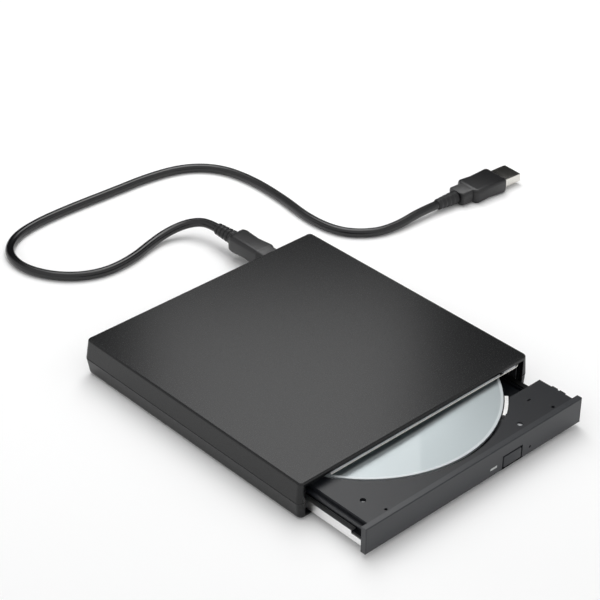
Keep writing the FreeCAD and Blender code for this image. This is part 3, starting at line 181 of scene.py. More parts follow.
def join_rings(work, rings):
    """Skin a row of rings with the same number of points, and close both ends."""
    for one, two in zip(rings, rings[1:]):
        count = len(one)
        for i in range(count):
            j = (i + 1) % count
            work.faces.new((one[i], one[j], two[j], two[i]))
    work.faces.new(list(reversed(rings[0])))
    work.faces.new(rings[-1])


def rounded_section(width, height, radius, steps=6):
    """Points round a rectangle with round corners, in the plane of width and height."""
    least_flat = 0.01 * MM
    radius = min(radius, width / 2 - least_flat, height / 2 - least_flat)
    points = []
    for corner, (sx, sz) in enumerate(((1, 1), (-1, 1), (-1, -1), (1, -1))):
        for i in range(steps + 1):
            turn = radians(90) * (corner + i / steps)
            points.append((sx * (width / 2 - radius) + radius * cos(turn),
                           sz * (height / 2 - radius) + radius * sin(turn)))
    return points


def loft_sections(name, sections, place):
    """A closed body through rounded sections: (along, width, height, corner radius)."""
    work = bmesh.new()
    rings = []
    for along, width, height, radius in sections:
        rings.append(add_ring(work, [place @ Vector((x, along, z))
                                     for x, z in rounded_section(width, height, radius)]))
    join_rings(work, rings)
    return finish_mesh(work, name)


def smooth_by_angle(mesh, angle):
    """Keep edges sharper than an angle crisp on a smooth-shaded mesh."""
    work = bmesh.new()
    work.from_mesh(mesh)
    for edge in work.edges:
        if len(edge.link_faces) == 2:
            edge.smooth = edge.calc_face_angle(0) < radians(angle)
    work.to_mesh(mesh)
    work.free()
    return mesh


# ---- materials ---------------------------------------------------------------------------------

# A mix node's colour sockets share their names with its number sockets, so they go by their places.
MIX_A, MIX_B, MIX_RESULT = 6, 7, 2
# A wave texture at a scale of 1 repeats at this step, in metres.
WAVE_STEP = 0.314


def feed(tree, node, sockets):
    """Give each named socket of a node a value, or a link from another node's output."""
    for name, amount in sockets.items():
        socket = node.inputs[name]
        if isinstance(amount, bpy.types.NodeSocket):
            tree.links.new(amount, socket)
        else:
            socket.default_value = amount


def add(tree, kind, settings=None, sockets=None):
    """Add a node with its settings and what its sockets are given."""
    made = tree.nodes.new(kind)
    for name, amount in (settings or {}).items():
        setattr(made, name, amount)
    feed(tree, made, sockets or {})
    return made


def new_material(name):
    """A material with a bare shader, and the tree and object coordinates to go on with."""
    material = bpy.data.materials.new(name)
    material.use_nodes = True
    tree = material.node_tree
    tree.nodes.clear()
    shader = add(tree, "ShaderNodeBsdfPrincipled")
    add(tree, "ShaderNodeOutputMaterial", sockets={"Surface": shader.outputs["BSDF"]})
    place = add(tree, "ShaderNodeTexCoord").outputs["Object"]
    return material, tree, shader, place


def rgba(tone, share=1.0):
    """A linear colour made lighter or darker by a share, with its alpha."""
    return (*[min(1.0, v * share) for v in tone], 1.0)


def plastic(name, tone, roughness, grain, depth, coat=0.0, variation=0.12, ior=1.5):
    """Moulded plastic: a fine eroded grain, slightly uneven in tone and gloss."""
    material, tree, shader, place = new_material(name)
    flow = 1 / 60  # flow marks of the moulding, about 17 mm from patch to patch
    cloud = add(tree, "ShaderNodeTexNoise", sockets={"Vector": place, "Scale": 1 / flow, "Detail": 3.0})
    toned = add(tree, "ShaderNodeMix", {"data_type": "RGBA"},
                {"Factor": cloud.outputs["Fac"], MIX_A: rgba(tone, 1 - variation),
                 MIX_B: rgba(tone, 1 + variation)})
    # A real tool's texture is about 0.1 mm, too fine to show, so the grain is drawn several times coarser.
    spark = add(tree, "ShaderNodeTexNoise", sockets={"Vector": place, "Scale": 1 / grain, "Detail": 2.0})
    gloss = add(tree, "ShaderNodeMapRange",
                sockets={"Value": spark.outputs["Fac"], "To Min": roughness - 0.05,
                         "To Max": roughness + 0.07})
    bump = add(tree, "ShaderNodeBump",
               sockets={"Height": spark.outputs["Fac"], "Strength": depth, "Distance": 0.05 * MM})
    feed(tree, shader, {"Base Color": toned.outputs[MIX_RESULT], "Roughness": gloss.outputs["Result"],
                        "Normal": bump.outputs["Normal"], "IOR": ior})
    if coat:
        feed(tree, shader, {"Coat Weight": coat, "Coat Roughness": 0.12})
    return material


def metal(name, tone, roughness, stretch, depth=0.15, scale=1.0):
    """Metal whose surface lines run along one axis; stretch squeezes the pattern's axes."""
    material, tree, shader, place = new_material(name)
    line = 1 / 900  # lines of rolling and drawing, drawn about 1.1 mm apart so that they show
    squeeze = add(tree, "ShaderNodeMapping", sockets={"Vector": place, "Scale": stretch})
    lines = add(tree, "ShaderNodeTexNoise",
                sockets={"Vector": squeeze.outputs["Vector"], "Scale": scale / line, "Detail": 4.0})
    toned = add(tree, "ShaderNodeMix", {"data_type": "RGBA"},
                {"Factor": lines.outputs["Fac"], MIX_A: rgba(tone, 0.86), MIX_B: rgba(tone, 1.1)})
    gloss = add(tree, "ShaderNodeMapRange",
                sockets={"Value": lines.outputs["Fac"], "To Min": roughness - 0.07,
                         "To Max": roughness + 0.1})
    bump = add(tree, "ShaderNodeBump",
               sockets={"Height": lines.outputs["Fac"], "Strength": depth, "Distance": 0.03 * MM})
    feed(tree, shader, {"Base Color": toned.outputs[MIX_RESULT], "Roughness": gloss.outputs["Result"],
                        "Normal": bump.outputs["Normal"], "Metallic": 1.0})
    return material


def spangled(name, tone, roughness, metallic=1.0):
    """Galvanised sheet: crystals a few millimetres wide, each a little lighter or duller."""
    material, tree, shader, place = new_material(name)
    crystal = 3.5 * MM  # zinc crystals of hot-dipped sheet
    crystals = add(tree, "ShaderNodeTexVoronoi", sockets={"Vector": place, "Scale": 1 / crystal})
    toned = add(tree, "ShaderNodeMix", {"data_type": "RGBA"},
                {"Factor": crystals.outputs["Color"], MIX_A: rgba(tone, 0.82), MIX_B: rgba(tone, 1.1)})
    gloss = add(tree, "ShaderNodeMapRange",
                sockets={"Value": crystals.outputs["Distance"], "To Min": roughness - 0.06,
                         "To Max": roughness + 0.1})
    feed(tree, shader, {"Base Color": toned.outputs[MIX_RESULT], "Roughness": gloss.outputs["Result"],
                        "Metallic": metallic})
    return material


def circuit_board(name):
    """Glass-fibre laminate under green lacquer: weave and a faint grid of tracks."""
    material, tree, shader, place = new_material(name)
    track_step, thread_step = 6 * MM, 0.5 * MM
    tracks = add(tree, "ShaderNodeTexBrick",
                 sockets={"Vector": place, "Color1": rgba(srgb("#0e4a2a")),
                          "Color2": rgba(srgb("#12552f")), "Mortar": rgba(srgb("#0a3a20")),
                          "Scale": 1 / track_step, "Mortar Size": 0.06})
    weave = add(tree, "ShaderNodeTexNoise", sockets={"Vector": place, "Scale": 1 / thread_step})
    bump = add(tree, "ShaderNodeBump",
               sockets={"Height": weave.outputs["Fac"], "Strength": 0.2, "Distance": 0.03 * MM})
    feed(tree, shader, {"Base Color": tracks.outputs["Color"], "Normal": bump.outputs["Normal"],
                        "Roughness": 0.3})
    return material


def disc_material(settings):
    """Polycarbonate over a metal layer: clear hub, stacking ring, mirror band, then fine spiral."""
    low, high = node_box("optical_disc")
    centre = (low + high) / 2
    radius = (high.x - low.x) / 2
    material, tree, shader, place = new_material("metallised_polycarbonate")
    centred = add(tree, "ShaderNodeVectorMath", {"operation": "SUBTRACT"},
                  {0: place, 1: (centre.x, centre.y, 0)})
    flat = add(tree, "ShaderNodeVectorMath", {"operation": "MULTIPLY"},
               {0: centred.outputs["Vector"], 1: (1, 1, 0)})
    out = add(tree, "ShaderNodeVectorMath", {"operation": "LENGTH"}, {0: flat.outputs["Vector"]})
    share = add(tree, "ShaderNodeMath", {"operation": "DIVIDE"}, {0: out.outputs["Value"], 1: radius})
    ramp = add(tree, "ShaderNodeValToRGB", sockets={"Fac": share.outputs["Value"]})
    rim_start = 1 - settings.rim_width / radius
    # The disc's bands, each by its share of the radius.
    # The darker foot of the stacking ring is painted shade, and the ring's bright band a painted
    # highlight.
    stops = ((0.0, rgba(settings.rim, 0.9)),                    # clear hub
             (0.185, rgba(settings.rim, 0.8)),                  # foot of the stacking ring
             (0.19, rgba(settings.rim, 1.3)),                   # the stacking ring, which catches light
             (0.36, rgba(settings.metal, 0.80)),                # the metal layer fades in
             (0.372, rgba(settings.metal, 0.9)),                # mirror band
             (0.382, rgba(settings.metal)),                     # start of the recorded spiral
             (rim_start - 0.004, rgba(settings.metal, 0.98)),   # end of the metal layer
             # The clear rim's light tone is painted light, for the bright line along the disc's edge.
             (rim_start, rgba(settings.rim)))                   # clear rim
    elements = ramp.color_ramp.elements
    for stop, _ in stops[2:]:
        elements.new(stop)
    for element, (stop, tone) in zip(elements, stops):
        element.position = stop
        element.color = tone
    metallic = add(tree, "ShaderNodeMapRange", {"interpolation_type": "STEPPED"},
                   {"Value": share.outputs["Value"], "From Min": rim_start - 0.002,
                    "From Max": rim_start, "To Min": 1.0, "To Max": 0.25, "Steps": 1.0})
    # The spiral is far too fine to show, so it is drawn as rings 0.6 mm apart.
    ring_step = 0.6 * MM
    rings = add(tree, "ShaderNodeTexWave", {"wave_type": "RINGS", "rings_direction": "SPHERICAL"},
                {"Vector": flat.outputs["Vector"], "Scale": WAVE_STEP / ring_step})
    bump = add(tree, "ShaderNodeBump",
               sockets={"Height": rings.outputs["Fac"], "Strength": 0.05, "Distance": 0.01 * MM})
    around = add(tree, "ShaderNodeVectorMath", {"operation": "CROSS_PRODUCT"},
                 {0: flat.outputs["Vector"], 1: (0, 0, 1)})
    along = add(tree, "ShaderNodeVectorMath", {"operation": "NORMALIZE"}, {0: around.outputs["Vector"]})
    feed(tree, shader, {"Base Color": ramp.outputs["Color"], "Metallic": metallic.outputs["Result"],
                        "Normal": bump.outputs["Normal"], "Tangent": along.outputs["Vector"],
                        "Anisotropic": 0.6, "Roughness": 0.32, "Coat Weight": 0.6,
                        "Coat Roughness": 0.03})
    return material


def glass_lens(name):
    """Coated glass lens: a violet bloom from its antireflection film."""
    material, tree, shader, place = new_material(name)
    film = add(tree, "ShaderNodeTexGradient", {"gradient_type": "SPHERICAL"}, {"Vector": place})
    toned = add(tree, "ShaderNodeMix", {"data_type": "RGBA"},
                {"Factor": film.outputs["Fac"], MIX_A: rgba(srgb("#3a4fa8")),
                 MIX_B: rgba(srgb("#7d6fd0"))})
    feed(tree, shader, {"Base Color": toned.outputs[MIX_RESULT], "Roughness": 0.03, "Coat Weight": 1.0})
    return material


def wound_copper(name):
    """Enamelled copper wire laid on a stack of steel sheets."""
    material, tree, shader, place = new_material(name)
    wire_step = 0.3 * MM  # twice the real wire, which is too fine to show
    wire = add(tree, "ShaderNodeTexWave", {"bands_direction": "Z"},
               {"Vector": place, "Scale": WAVE_STEP / wire_step, "Distortion": 1.0, "Detail": 2.0})
    toned = add(tree, "ShaderNodeMix", {"data_type": "RGBA"},
                {"Factor": wire.outputs["Fac"], MIX_A: rgba(srgb("#6b3416")),
                 MIX_B: rgba(srgb("#c9773d"))})
    feed(tree, shader, {"Base Color": toned.outputs[MIX_RESULT], "Metallic": 0.7, "Roughness": 0.35})
    return material


def make_materials(scene):
    """Every finish, by the record's slot."""
    case = scene.drive_case
    grain = case.grain
    cable = scene.drive_cable
    return {
        # ABS moulded in a spark-eroded tool: near black, an even satin that spreads highlights.
        "case_plastic": plastic("spark_eroded_abs", case.case, 0.25, grain, 0.10, variation=0.08,
                                ior=1.42),
        # Polycarbonate-ABS, finer tool finish: dark graphite, soft sheen.
        "tray_plastic": plastic("satin_graphite_abs", case.tray, 0.34, grain * 0.7, 0.15, ior=1.45),
        # The same plastic under a light lacquer: a little smoother.
        "bezel_plastic": plastic("lacquered_graphite_abs", case.bezel, 0.33, grain * 0.7, 0.15),
        # Vulcanised rubber: dead matt, dusty.
        "foot_rubber": plastic("vulcanised_rubber", case.rubber, 0.85, grain, 0.5, variation=0.25),
        # Extruded soft PVC: near black with a wet-looking surface.
        "cable_jacket": plastic("extruded_pvc", cable.jacket, 0.22, 1.2 * MM, 0.2),
        # Injection-moulded PVC: black, a little duller than the cable.
        "plug_plastic": plastic("moulded_pvc", cable.grip, 0.44, 0.6 * MM, 0.3, coat=0.1),
        # Acetal: off-white, waxy.
        "guide_plastic": plastic("natural_acetal", srgb("#d8d5ca"), 0.45, 0.6 * MM, 0.1),
        # Glass-filled polyamide of connectors, switches and chip bodies; on the rail guides, painted
        # shade.
        "black_plastic": plastic("glass_filled_polyamide", srgb("#141415"), 0.55, 0.4 * MM, 0.4),
        # Polyester film of the flat ribbon.
        "ribbon": plastic("polyester_film", srgb("#cfc8b0"), 0.25, 1.5 * MM, 0.1),
        # Acrylic light pipe.
        "window": plastic("tinted_acrylic", srgb("#a9adab"), 0.12, 2 * MM, 0.05, coat=1.0),
        # Black acetal and the lens carrier's stiff polymer: smooth, slightly waxy.
        "turntable_plastic": plastic("moulded_acetal_black", srgb("#1a1a1c"), 0.4, 0.5 * MM, 0.2),
        "carrier": plastic("liquid_crystal_polymer", srgb("#202022"), 0.5, 0.4 * MM, 0.2),
        # Zinc-plated screws: bright, turned across.
        "screw_steel": metal("zinc_plated_steel", srgb("#b9bbbd"), 0.28, (1, 1, 8)),
        # Cold-rolled strip: faint lines along the slide.
        # Its near-white tone is painted light on the left rail, which sits in shade under the tray.
        "rail_steel": metal("cold_rolled_strip", srgb("#fafaf9"), 0.36, (6, 0.2, 6)),
        # Painted shade: the right rail's strip made dark for the case's shadow, faint lines along the
        # slide.
        "blackened_steel": metal("phosphated_strip", srgb("#2c2c2d"), 0.45, (6, 0.2, 6)),
        # Bright-rolled strip at the disc's edge.
        "edge_steel": metal("bright_rolled_strip", srgb("#f6f6f4"), 0.35, (1, 1, 1), 0.05),
        # Nickel plate over brass: bright and warm, drawn along the plug.
        "plug_metal": metal("nickel_plated_shell", srgb("#d8d6d0"), 0.2, (4, 0.4, 4)),
        # Drawn wire, a zinc casting and a plated magnet yoke: bright, grey and dark.
        "spring_steel": metal("drawn_spring_wire", srgb("#a8a9aa"), 0.25, (1, 1, 6)),
        "sled_metal": metal("die_cast_zinc", srgb("#9da0a4"), 0.5, (1, 1, 1), 0.4, 2.0),
        "solenoid": metal("dark_plated_steel", srgb("#5c5b58"), 0.4, (1, 1, 1), 0.3),
        # Galvanised sheet, and the same dulled by its protective film.
        "pan_steel": spangled("galvanised_sheet", srgb("#b4b6b8"), 0.36),
        "cover_steel": spangled("dull_galvanised_sheet", srgb("#c6c8cb"), 0.5, 0.55),
        # Lacquered laminate, enamelled wire, a metallised disc and a coated lens.
        "board": circuit_board("green_laminate"),
        "stator": wound_copper("enamelled_copper"),
        "disc": disc_material(scene.drive_disc),
        "lens": glass_lens("coated_glass"),
    }


# Every finish by the record's slot, and the few that aren't any slot's; main fills it.
MATERIALS = {}


# ---- operators ---------------------------------------------------------------------------------

def camera_matrix(studio, target):
    """Where the camera stands, from its direction round the object, its height and its roll."""
    turn, rise, roll = studio.azimuth, studio.elevation, studio.roll
    back = Vector((sin(turn) * cos(rise), -cos(turn) * cos(rise), sin(rise)))
    right = Vector((cos(turn), sin(turn), 0))
    up = back.cross(right)
    rolled_right = right * cos(roll) + up * sin(roll)
    rolled_up = up * cos(roll) - right * sin(roll)
    matrix = Matrix((rolled_right, rolled_up, back)).transposed().to_4x4()
    matrix.translation = target + back * studio.distance
    return matrix


SURFACE_Z = CAD_BOX[0][2]
# The point on the surface that the camera looks at, in metres, then the camera's focal length and
# its film's width, in millimetres.
LOOK_AT = Vector((42.417 * MM, 49.368 * MM, SURFACE_Z))
FOCAL_LENGTH, FILM_WIDTH = 114.43, 36
# From the centre of the floor to each edge, in metres.
FLOOR_REACH = 6.0
# The square lights: place, width and what each one is aimed at, in metres.
LIGHTS = {
    "overhead": ((0.35, 0.45, 1.4), 1.2, (0.03, 0.03, 0)),
    "sheen": ((0.195, 0.228, 0.29), 0.18, (-0.035, -0.030, 0.0176)),
    "side": ((-1.3, -0.5, 0.8), 0.8, (0.03, 0.03, 0)),
}
# The black flag: which way it hangs, where its edge starts and ends as a cosine from there, and how
# bright the tent is outside and inside it.
FLAG_DIRECTION = (0.60, 0.60, 0.53)
FLAG_EDGE = (0.3, 0.78)
TENT_GLOW, FLAG_GLOW = 0.9, 0.01


def area_light(name, place, width, aim, power):
    """A square light that the camera doesn't see."""
    light = bpy.data.lights.new(name, "AREA")
    light.shape = "RECTANGLE"
    light.size = light.size_y = width
    light.energy = power
    lamp = bpy.data.objects.new(name, light)
    lamp.location = place
    lamp.rotation_euler = (Vector(aim) - Vector(place)).to_track_quat("-Z", "Y").to_euler()
    lamp.visible_camera = False
    bpy.context.scene.collection.objects.link(lamp)


class DRIVE_OT_studio(bpy.types.Operator):
    """Set up the floor, the soft lights and the camera"""
    bl_idname = "drive.studio"
    bl_label = "Studio"

    def execute(self, context):
        studio = context.scene.drive_studio
        lens = bpy.data.cameras.new("camera")
        lens.lens = FOCAL_LENGTH
        lens.sensor_width = FILM_WIDTH
        camera = bpy.data.objects.new("camera", lens)
        camera.matrix_world = camera_matrix(studio, LOOK_AT)
        context.scene.collection.objects.link(camera)
        context.scene.camera = camera
        work = bmesh.new()
        add_ring(work, [(x * FLOOR_REACH, y * FLOOR_REACH, SURFACE_Z)
                        for x, y in ((-1, -1), (1, -1), (1, 1), (-1, 1))])
        work.faces.new(work.verts)
        floor = bpy.data.objects.new("floor", finish_mesh(work, "floor", smooth=False))
        context.scene.collection.objects.link(floor)
        floor.data.materials.append(self.floor_finish(studio))
        for name, (place, width, aim) in LIGHTS.items():
            area_light(name, place, width, aim, getattr(studio, name + "_power"))
        context.scene.world = self.sky()
        context.scene.view_settings.view_transform = "Standard"
        return {"FINISHED"}

    @staticmethod
    def sky():
        """A soft white tent with a black flag behind the table, which the flat tops mirror."""
        world = bpy.data.worlds.new("soft_tent")
        world.use_nodes = True
        tree = world.node_tree
        direction = add(tree, "ShaderNodeTexCoord").outputs["Generated"]
        towards = add(tree, "ShaderNodeVectorMath", {"operation": "DOT_PRODUCT"},
                      {0: direction, 1: FLAG_DIRECTION})
        glow = add(tree, "ShaderNodeMapRange", {"interpolation_type": "SMOOTHSTEP"},
                   {"Value": towards.outputs["Value"], "From Min": FLAG_EDGE[0],
                    "From Max": FLAG_EDGE[1], "To Min": TENT_GLOW, "To Max": FLAG_GLOW})
        feed(tree, tree.nodes["Background"], {"Color": (1, 1, 1, 1), "Strength": glow.outputs["Result"]})
        return world

    @staticmethod
    def floor_finish(studio):
        """Seamless paper: nearly white, matt, with a faint mottle."""
        material, tree, shader, place = new_material("seamless_paper")
        patch = 0.125  # metres from one cloud of the mottle to the next
        mottle = add(tree, "ShaderNodeTexNoise", sockets={"Vector": place, "Scale": 1 / patch})
        toned = add(tree, "ShaderNodeMix", {"data_type": "RGBA"},
                    {"Factor": mottle.outputs["Fac"], MIX_A: rgba(studio.floor, 0.985),
                     MIX_B: rgba(studio.floor)})
        feed(tree, shader, {"Base Color": toned.outputs[MIX_RESULT], "Roughness": 0.8,
                            "Specular IOR Level": 0.2})
        return material


# The cable's middle line: out of the drive plug's relief, down to the surface, round a loop behind
# the case and along to the computer plug. Metres.
CABLE_ROUTE = (
    (0.0465, 0.1128, 0.0082), (0.0465, 0.1198, 0.0082), (0.0436, 0.1261, 0.00726),
    (0.0383, 0.1306, 0.00539), (0.0305, 0.1328, 0.00344), (0.0205, 0.1320, 0.00204),
    (0.0050, 0.1276, 0.0015), (-0.0110, 0.1266, 0.0015), (-0.0238, 0.1316, 0.0015),
    (-0.0339, 0.1420, 0.0015), (-0.0395, 0.1565, 0.0015), (-0.0370, 0.1715, 0.0015),
    (-0.0265, 0.1815, 0.0015), (-0.0100, 0.1856, 0.0015), (0.0120, 0.1860, 0.0015),
    (0.0370, 0.1848, 0.0015), (0.0610, 0.1842, 0.0015), (0.0810, 0.1796, 0.0015),
    (0.0942, 0.1670, 0.0015), (0.0986, 0.1470, 0.0015), (0.0976, 0.1220, 0.0015),
    (0.0936, 0.0975, 0.0015), (0.0964, 0.0777, 0.0015), (0.1084, 0.0662, 0.0015),
    (0.1220, 0.0634, 0.00185), (0.1370, 0.0636, 0.00325), (0.1490, 0.0628, 0.00325),
)


class DRIVE_OT_cable(bpy.types.Operator):
    """Lay the cable along its route"""
    bl_idname = "drive.cable"
    bl_label = "Cable"

    def execute(self, context):
        settings = context.scene.drive_cable
        curve = bpy.data.curves.new("cable_run", "CURVE")
        curve.dimensions = "3D"
        spline = curve.splines.new("NURBS")
        spline.points.add(len(CABLE_ROUTE) - 1)
        for point, place in zip(spline.points, CABLE_ROUTE):
            point.co = (*place, 1)
        spline.order_u = 3
        spline.use_endpoint_u = True
        spline.resolution_u = 10
        curve.bevel_depth = settings.diameter / 2
        curve.bevel_resolution = 6
        curve.use_fill_caps = True
        curve.materials.append(MATERIALS["cable_jacket"])
        cable = bpy.data.objects.new("cable_run", curve)
        context.scene.collection.objects.link(cable)
        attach(cable, "case")
        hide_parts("cable")
        on_it = [bpy.data.objects[name] for name in
                 ("drive_plug_relief", "drive_plug_grip", "host_plug_relief", "host_plug_grip",
                  "host_plug_shell")]
        on_it += [frame["nodes"][name] for name in ("plug_nose", "host_insert")]
        return {"FINISHED"}


# The reliefs: radius of the core at its thick and thin end, how far the ribs' middle line stands
# proud of it, the radius of a rib's own section, and the points round each.
RELIEF_THICK, RELIEF_THIN = 3.45 * MM, 2.65 * MM
RIB_PROUD, RIB_RADIUS = 0.2 * MM, 0.75 * MM
CORE_POINTS, RIB_POINTS, CORE_STEPS = 28, 10, 12


def rib_tree():
    """Rings at even steps along a tapered sleeve, their radius going from one end's to the other's."""
    tree = bpy.data.node_groups.new("relief_ribs", "GeometryNodeTree")
    sockets = (("Geometry", "NodeSocketGeometry"), ("Count", "NodeSocketInt"),
               ("Length", "NodeSocketFloat"),
               ("Start radius", "NodeSocketFloat"), ("End radius", "NodeSocketFloat"),
               ("Rib radius", "NodeSocketFloat"), ("Finish", "NodeSocketMaterial"))
    for name, kind in sockets:
        tree.interface.new_socket(name, in_out="INPUT", socket_type=kind)
    tree.interface.new_socket("Geometry", in_out="OUTPUT", socket_type="NodeSocketGeometry")
    given = add(tree, "NodeGroupInput").outputs
    step = add(tree, "ShaderNodeMath", {"operation": "DIVIDE"}, {0: given["Length"], 1: given["Count"]})
    offset = add(tree, "ShaderNodeCombineXYZ", sockets={"Y": step.outputs["Value"]})
    row = add(tree, "GeometryNodeMeshLine",
              sockets={"Count": given["Count"], "Offset": offset.outputs["Vector"]})
    index = add(tree, "GeometryNodeInputIndex").outputs["Index"]
    ratio = add(tree, "ShaderNodeMath", {"operation": "DIVIDE"}, {0: index, 1: given["Count"]})
    radius = add(tree, "ShaderNodeMix", {"data_type": "FLOAT"},
                 {"Factor": ratio.outputs["Value"], "A": given["Start radius"],
                  "B": given["End radius"]})
    circle = add(tree, "GeometryNodeCurvePrimitiveCircle",
                 sockets={"Resolution": CORE_POINTS, "Radius": 1.0})
    profile = add(tree, "GeometryNodeCurvePrimitiveCircle",
                  sockets={"Resolution": RIB_POINTS, "Radius": given["Rib radius"]})
    rib = add(tree, "GeometryNodeCurveToMesh",
              sockets={"Curve": circle.outputs["Curve"], "Profile Curve": profile.outputs["Curve"]})
    size = add(tree, "ShaderNodeCombineXYZ",
               sockets={"X": radius.outputs["Result"], "Y": radius.outputs["Result"], "Z": 1.0})
    placed = add(tree, "GeometryNodeInstanceOnPoints",
                 sockets={"Points": row.outputs["Mesh"], "Instance": rib.outputs["Mesh"],
                          "Rotation": (pi / 2, 0, 0), "Scale": size.outputs["Vector"]})
    whole = add(tree, "GeometryNodeJoinGeometry")
    tree.links.new(placed.outputs["Instances"], whole.inputs["Geometry"])
    tree.links.new(given["Geometry"], whole.inputs["Geometry"])
    real = add(tree, "GeometryNodeRealizeInstances", sockets={"Geometry": whole.outputs["Geometry"]})
    dressed = add(tree, "GeometryNodeSetMaterial",
                  sockets={"Geometry": real.outputs["Geometry"], "Material": given["Finish"]})
    add(tree, "NodeGroupOutput", sockets={"Geometry": dressed.outputs["Geometry"]})
    return tree


def run_tree(name, base, tree, inputs):
    """Evaluate a geometry tree on a mesh with its inputs set, and give the plain mesh."""
    carrier = bpy.data.objects.new(name + "_carrier", base)
    bpy.context.scene.collection.objects.link(carrier)
    modifier = carrier.modifiers.new("tree", "NODES")
    modifier.node_group = tree
    for item in tree.interface.items_tree:
        if item.in_out == "INPUT" and item.name in inputs:
            modifier[item.identifier] = inputs[item.name]
    bpy.context.view_layer.update()
    seen = carrier.evaluated_get(bpy.context.evaluated_depsgraph_get())
    mesh = bpy.data.meshes.new_from_object(seen)
    mesh.name = name
    bpy.data.objects.remove(carrier)
    return mesh


def host_place():
    """The computer plug's own frame: along +Y from the cable's end, turned on to its last run."""
    end = Vector(CABLE_ROUTE[-1])
    run = end - Vector(CABLE_ROUTE[-2])
    across = Vector((run.y, -run.x, 0)).normalized()
    along = Vector((run.x, run.y, 0)).normalized()
    matrix = Matrix((across, along, Vector((0, 0, 1)))).transposed().to_4x4()
    matrix.translation = end
    return matrix


class DRIVE_OT_reliefs(bpy.types.Operator):
    """Make the two ribbed, tapered strain reliefs"""
    bl_idname = "drive.reliefs"
    bl_label = "Strain reliefs"

    def execute(self, context):
        settings = context.scene.drive_cable
        tree = rib_tree()
        low, high = node_box("plug_relief")
        axis = (low + high) / 2
        drive = Matrix.Translation((axis.x, low.y, axis.z))
        size = high.y - low.y
        for name, node, place, start, end in (
                ("drive_plug_relief", "plug_relief", drive, RELIEF_THICK, RELIEF_THIN),
                ("host_plug_relief", "host_relief", host_place(), RELIEF_THIN, RELIEF_THICK)):
            mesh = self.relief(settings, tree, name, size, start, end)
            mesh.transform(place)
            add_piece(name, mesh, "case", "plug_plastic", node)
        return {"FINISHED"}

    @staticmethod
    def relief(settings, tree, name, size, start, end):
        """One relief along +Y from the origin: a tapered core with its ribs."""
        work = bmesh.new()
        rings = []
        for i in range(CORE_STEPS + 1):
            along = size * i / CORE_STEPS
            radius = start + (end - start) * i / CORE_STEPS
            rings.append(add_ring(work, [(radius * cos(t), along, radius * sin(t)) for t in
                                         (2 * pi * k / CORE_POINTS for k in range(CORE_POINTS))]))
        join_rings(work, rings)
        core = finish_mesh(work, name + "_core")
        # The tree starts its ribs at the origin, and the first one lies half a step up the core.
        first = size / settings.rib_count / 2
        core.transform(Matrix.Translation((0, -first, 0)))
        mesh = run_tree(name, core, tree, {
            "Count": settings.rib_count, "Length": size, "Start radius": start + RIB_PROUD,
            "End radius": end + RIB_PROUD, "Rib radius": RIB_RADIUS,
            "Finish": MATERIALS["plug_plastic"]})
        mesh.transform(Matrix.Translation((0, first, 0)))
        for face in mesh.polygons:
            face.use_smooth = True
        return mesh


# The drive plug's grip: its narrow neck's length, and how far along the rest its waist is.
NECK, WAIST = 8 * MM, 0.45
# Sections of the computer plug's grip: along from its relief, width, height and corner radius, in
# millimetres.
HOST_GRIP = ((0.0, 9.0, 6.4, 2.0), (0.7, 11.0, 7.2, 2.0), (7.2, 11.0, 7.2, 2.0), (8.0, 14.6, 7.8, 2.0),
             (9.2, 16.0, 8.0, 2.0), (16.0, 15.2, 7.6, 2.0), (26.8, 16.0, 8.0, 1.6),
             (28.0, 15.2, 7.2, 1.2))
# The computer plug's metal sleeve: width, height, how far it stands out, and its sheet's thickness.
SHELL_WIDTH, SHELL_HEIGHT, SHELL_REACH, SHELL_WALL = 12 * MM, 4.5 * MM, 11.8 * MM, 0.3 * MM
# Rings of the sleeve, out along its outside and back down its inside: share of its reach, how far
# the ring lies inside the outer face in metres, and its corner radius in millimetres.
SHELL_RINGS = ((0.0, 0.0, 0.5), (0.3, 0.0, 0.5), (0.9, 0.0, 0.5), (1.0, 0.15 * MM, 0.5),
               (1.0, SHELL_WALL, 0.3), (0.06, SHELL_WALL, 0.3))
# Edges sharper than these, in degrees, stay crisp: on the grips and the button, on the sleeve, and on
# the lip's bead.
GRIP_ANGLE, SHELL_ANGLE, BEAD_ANGLE = 50, 35, 60


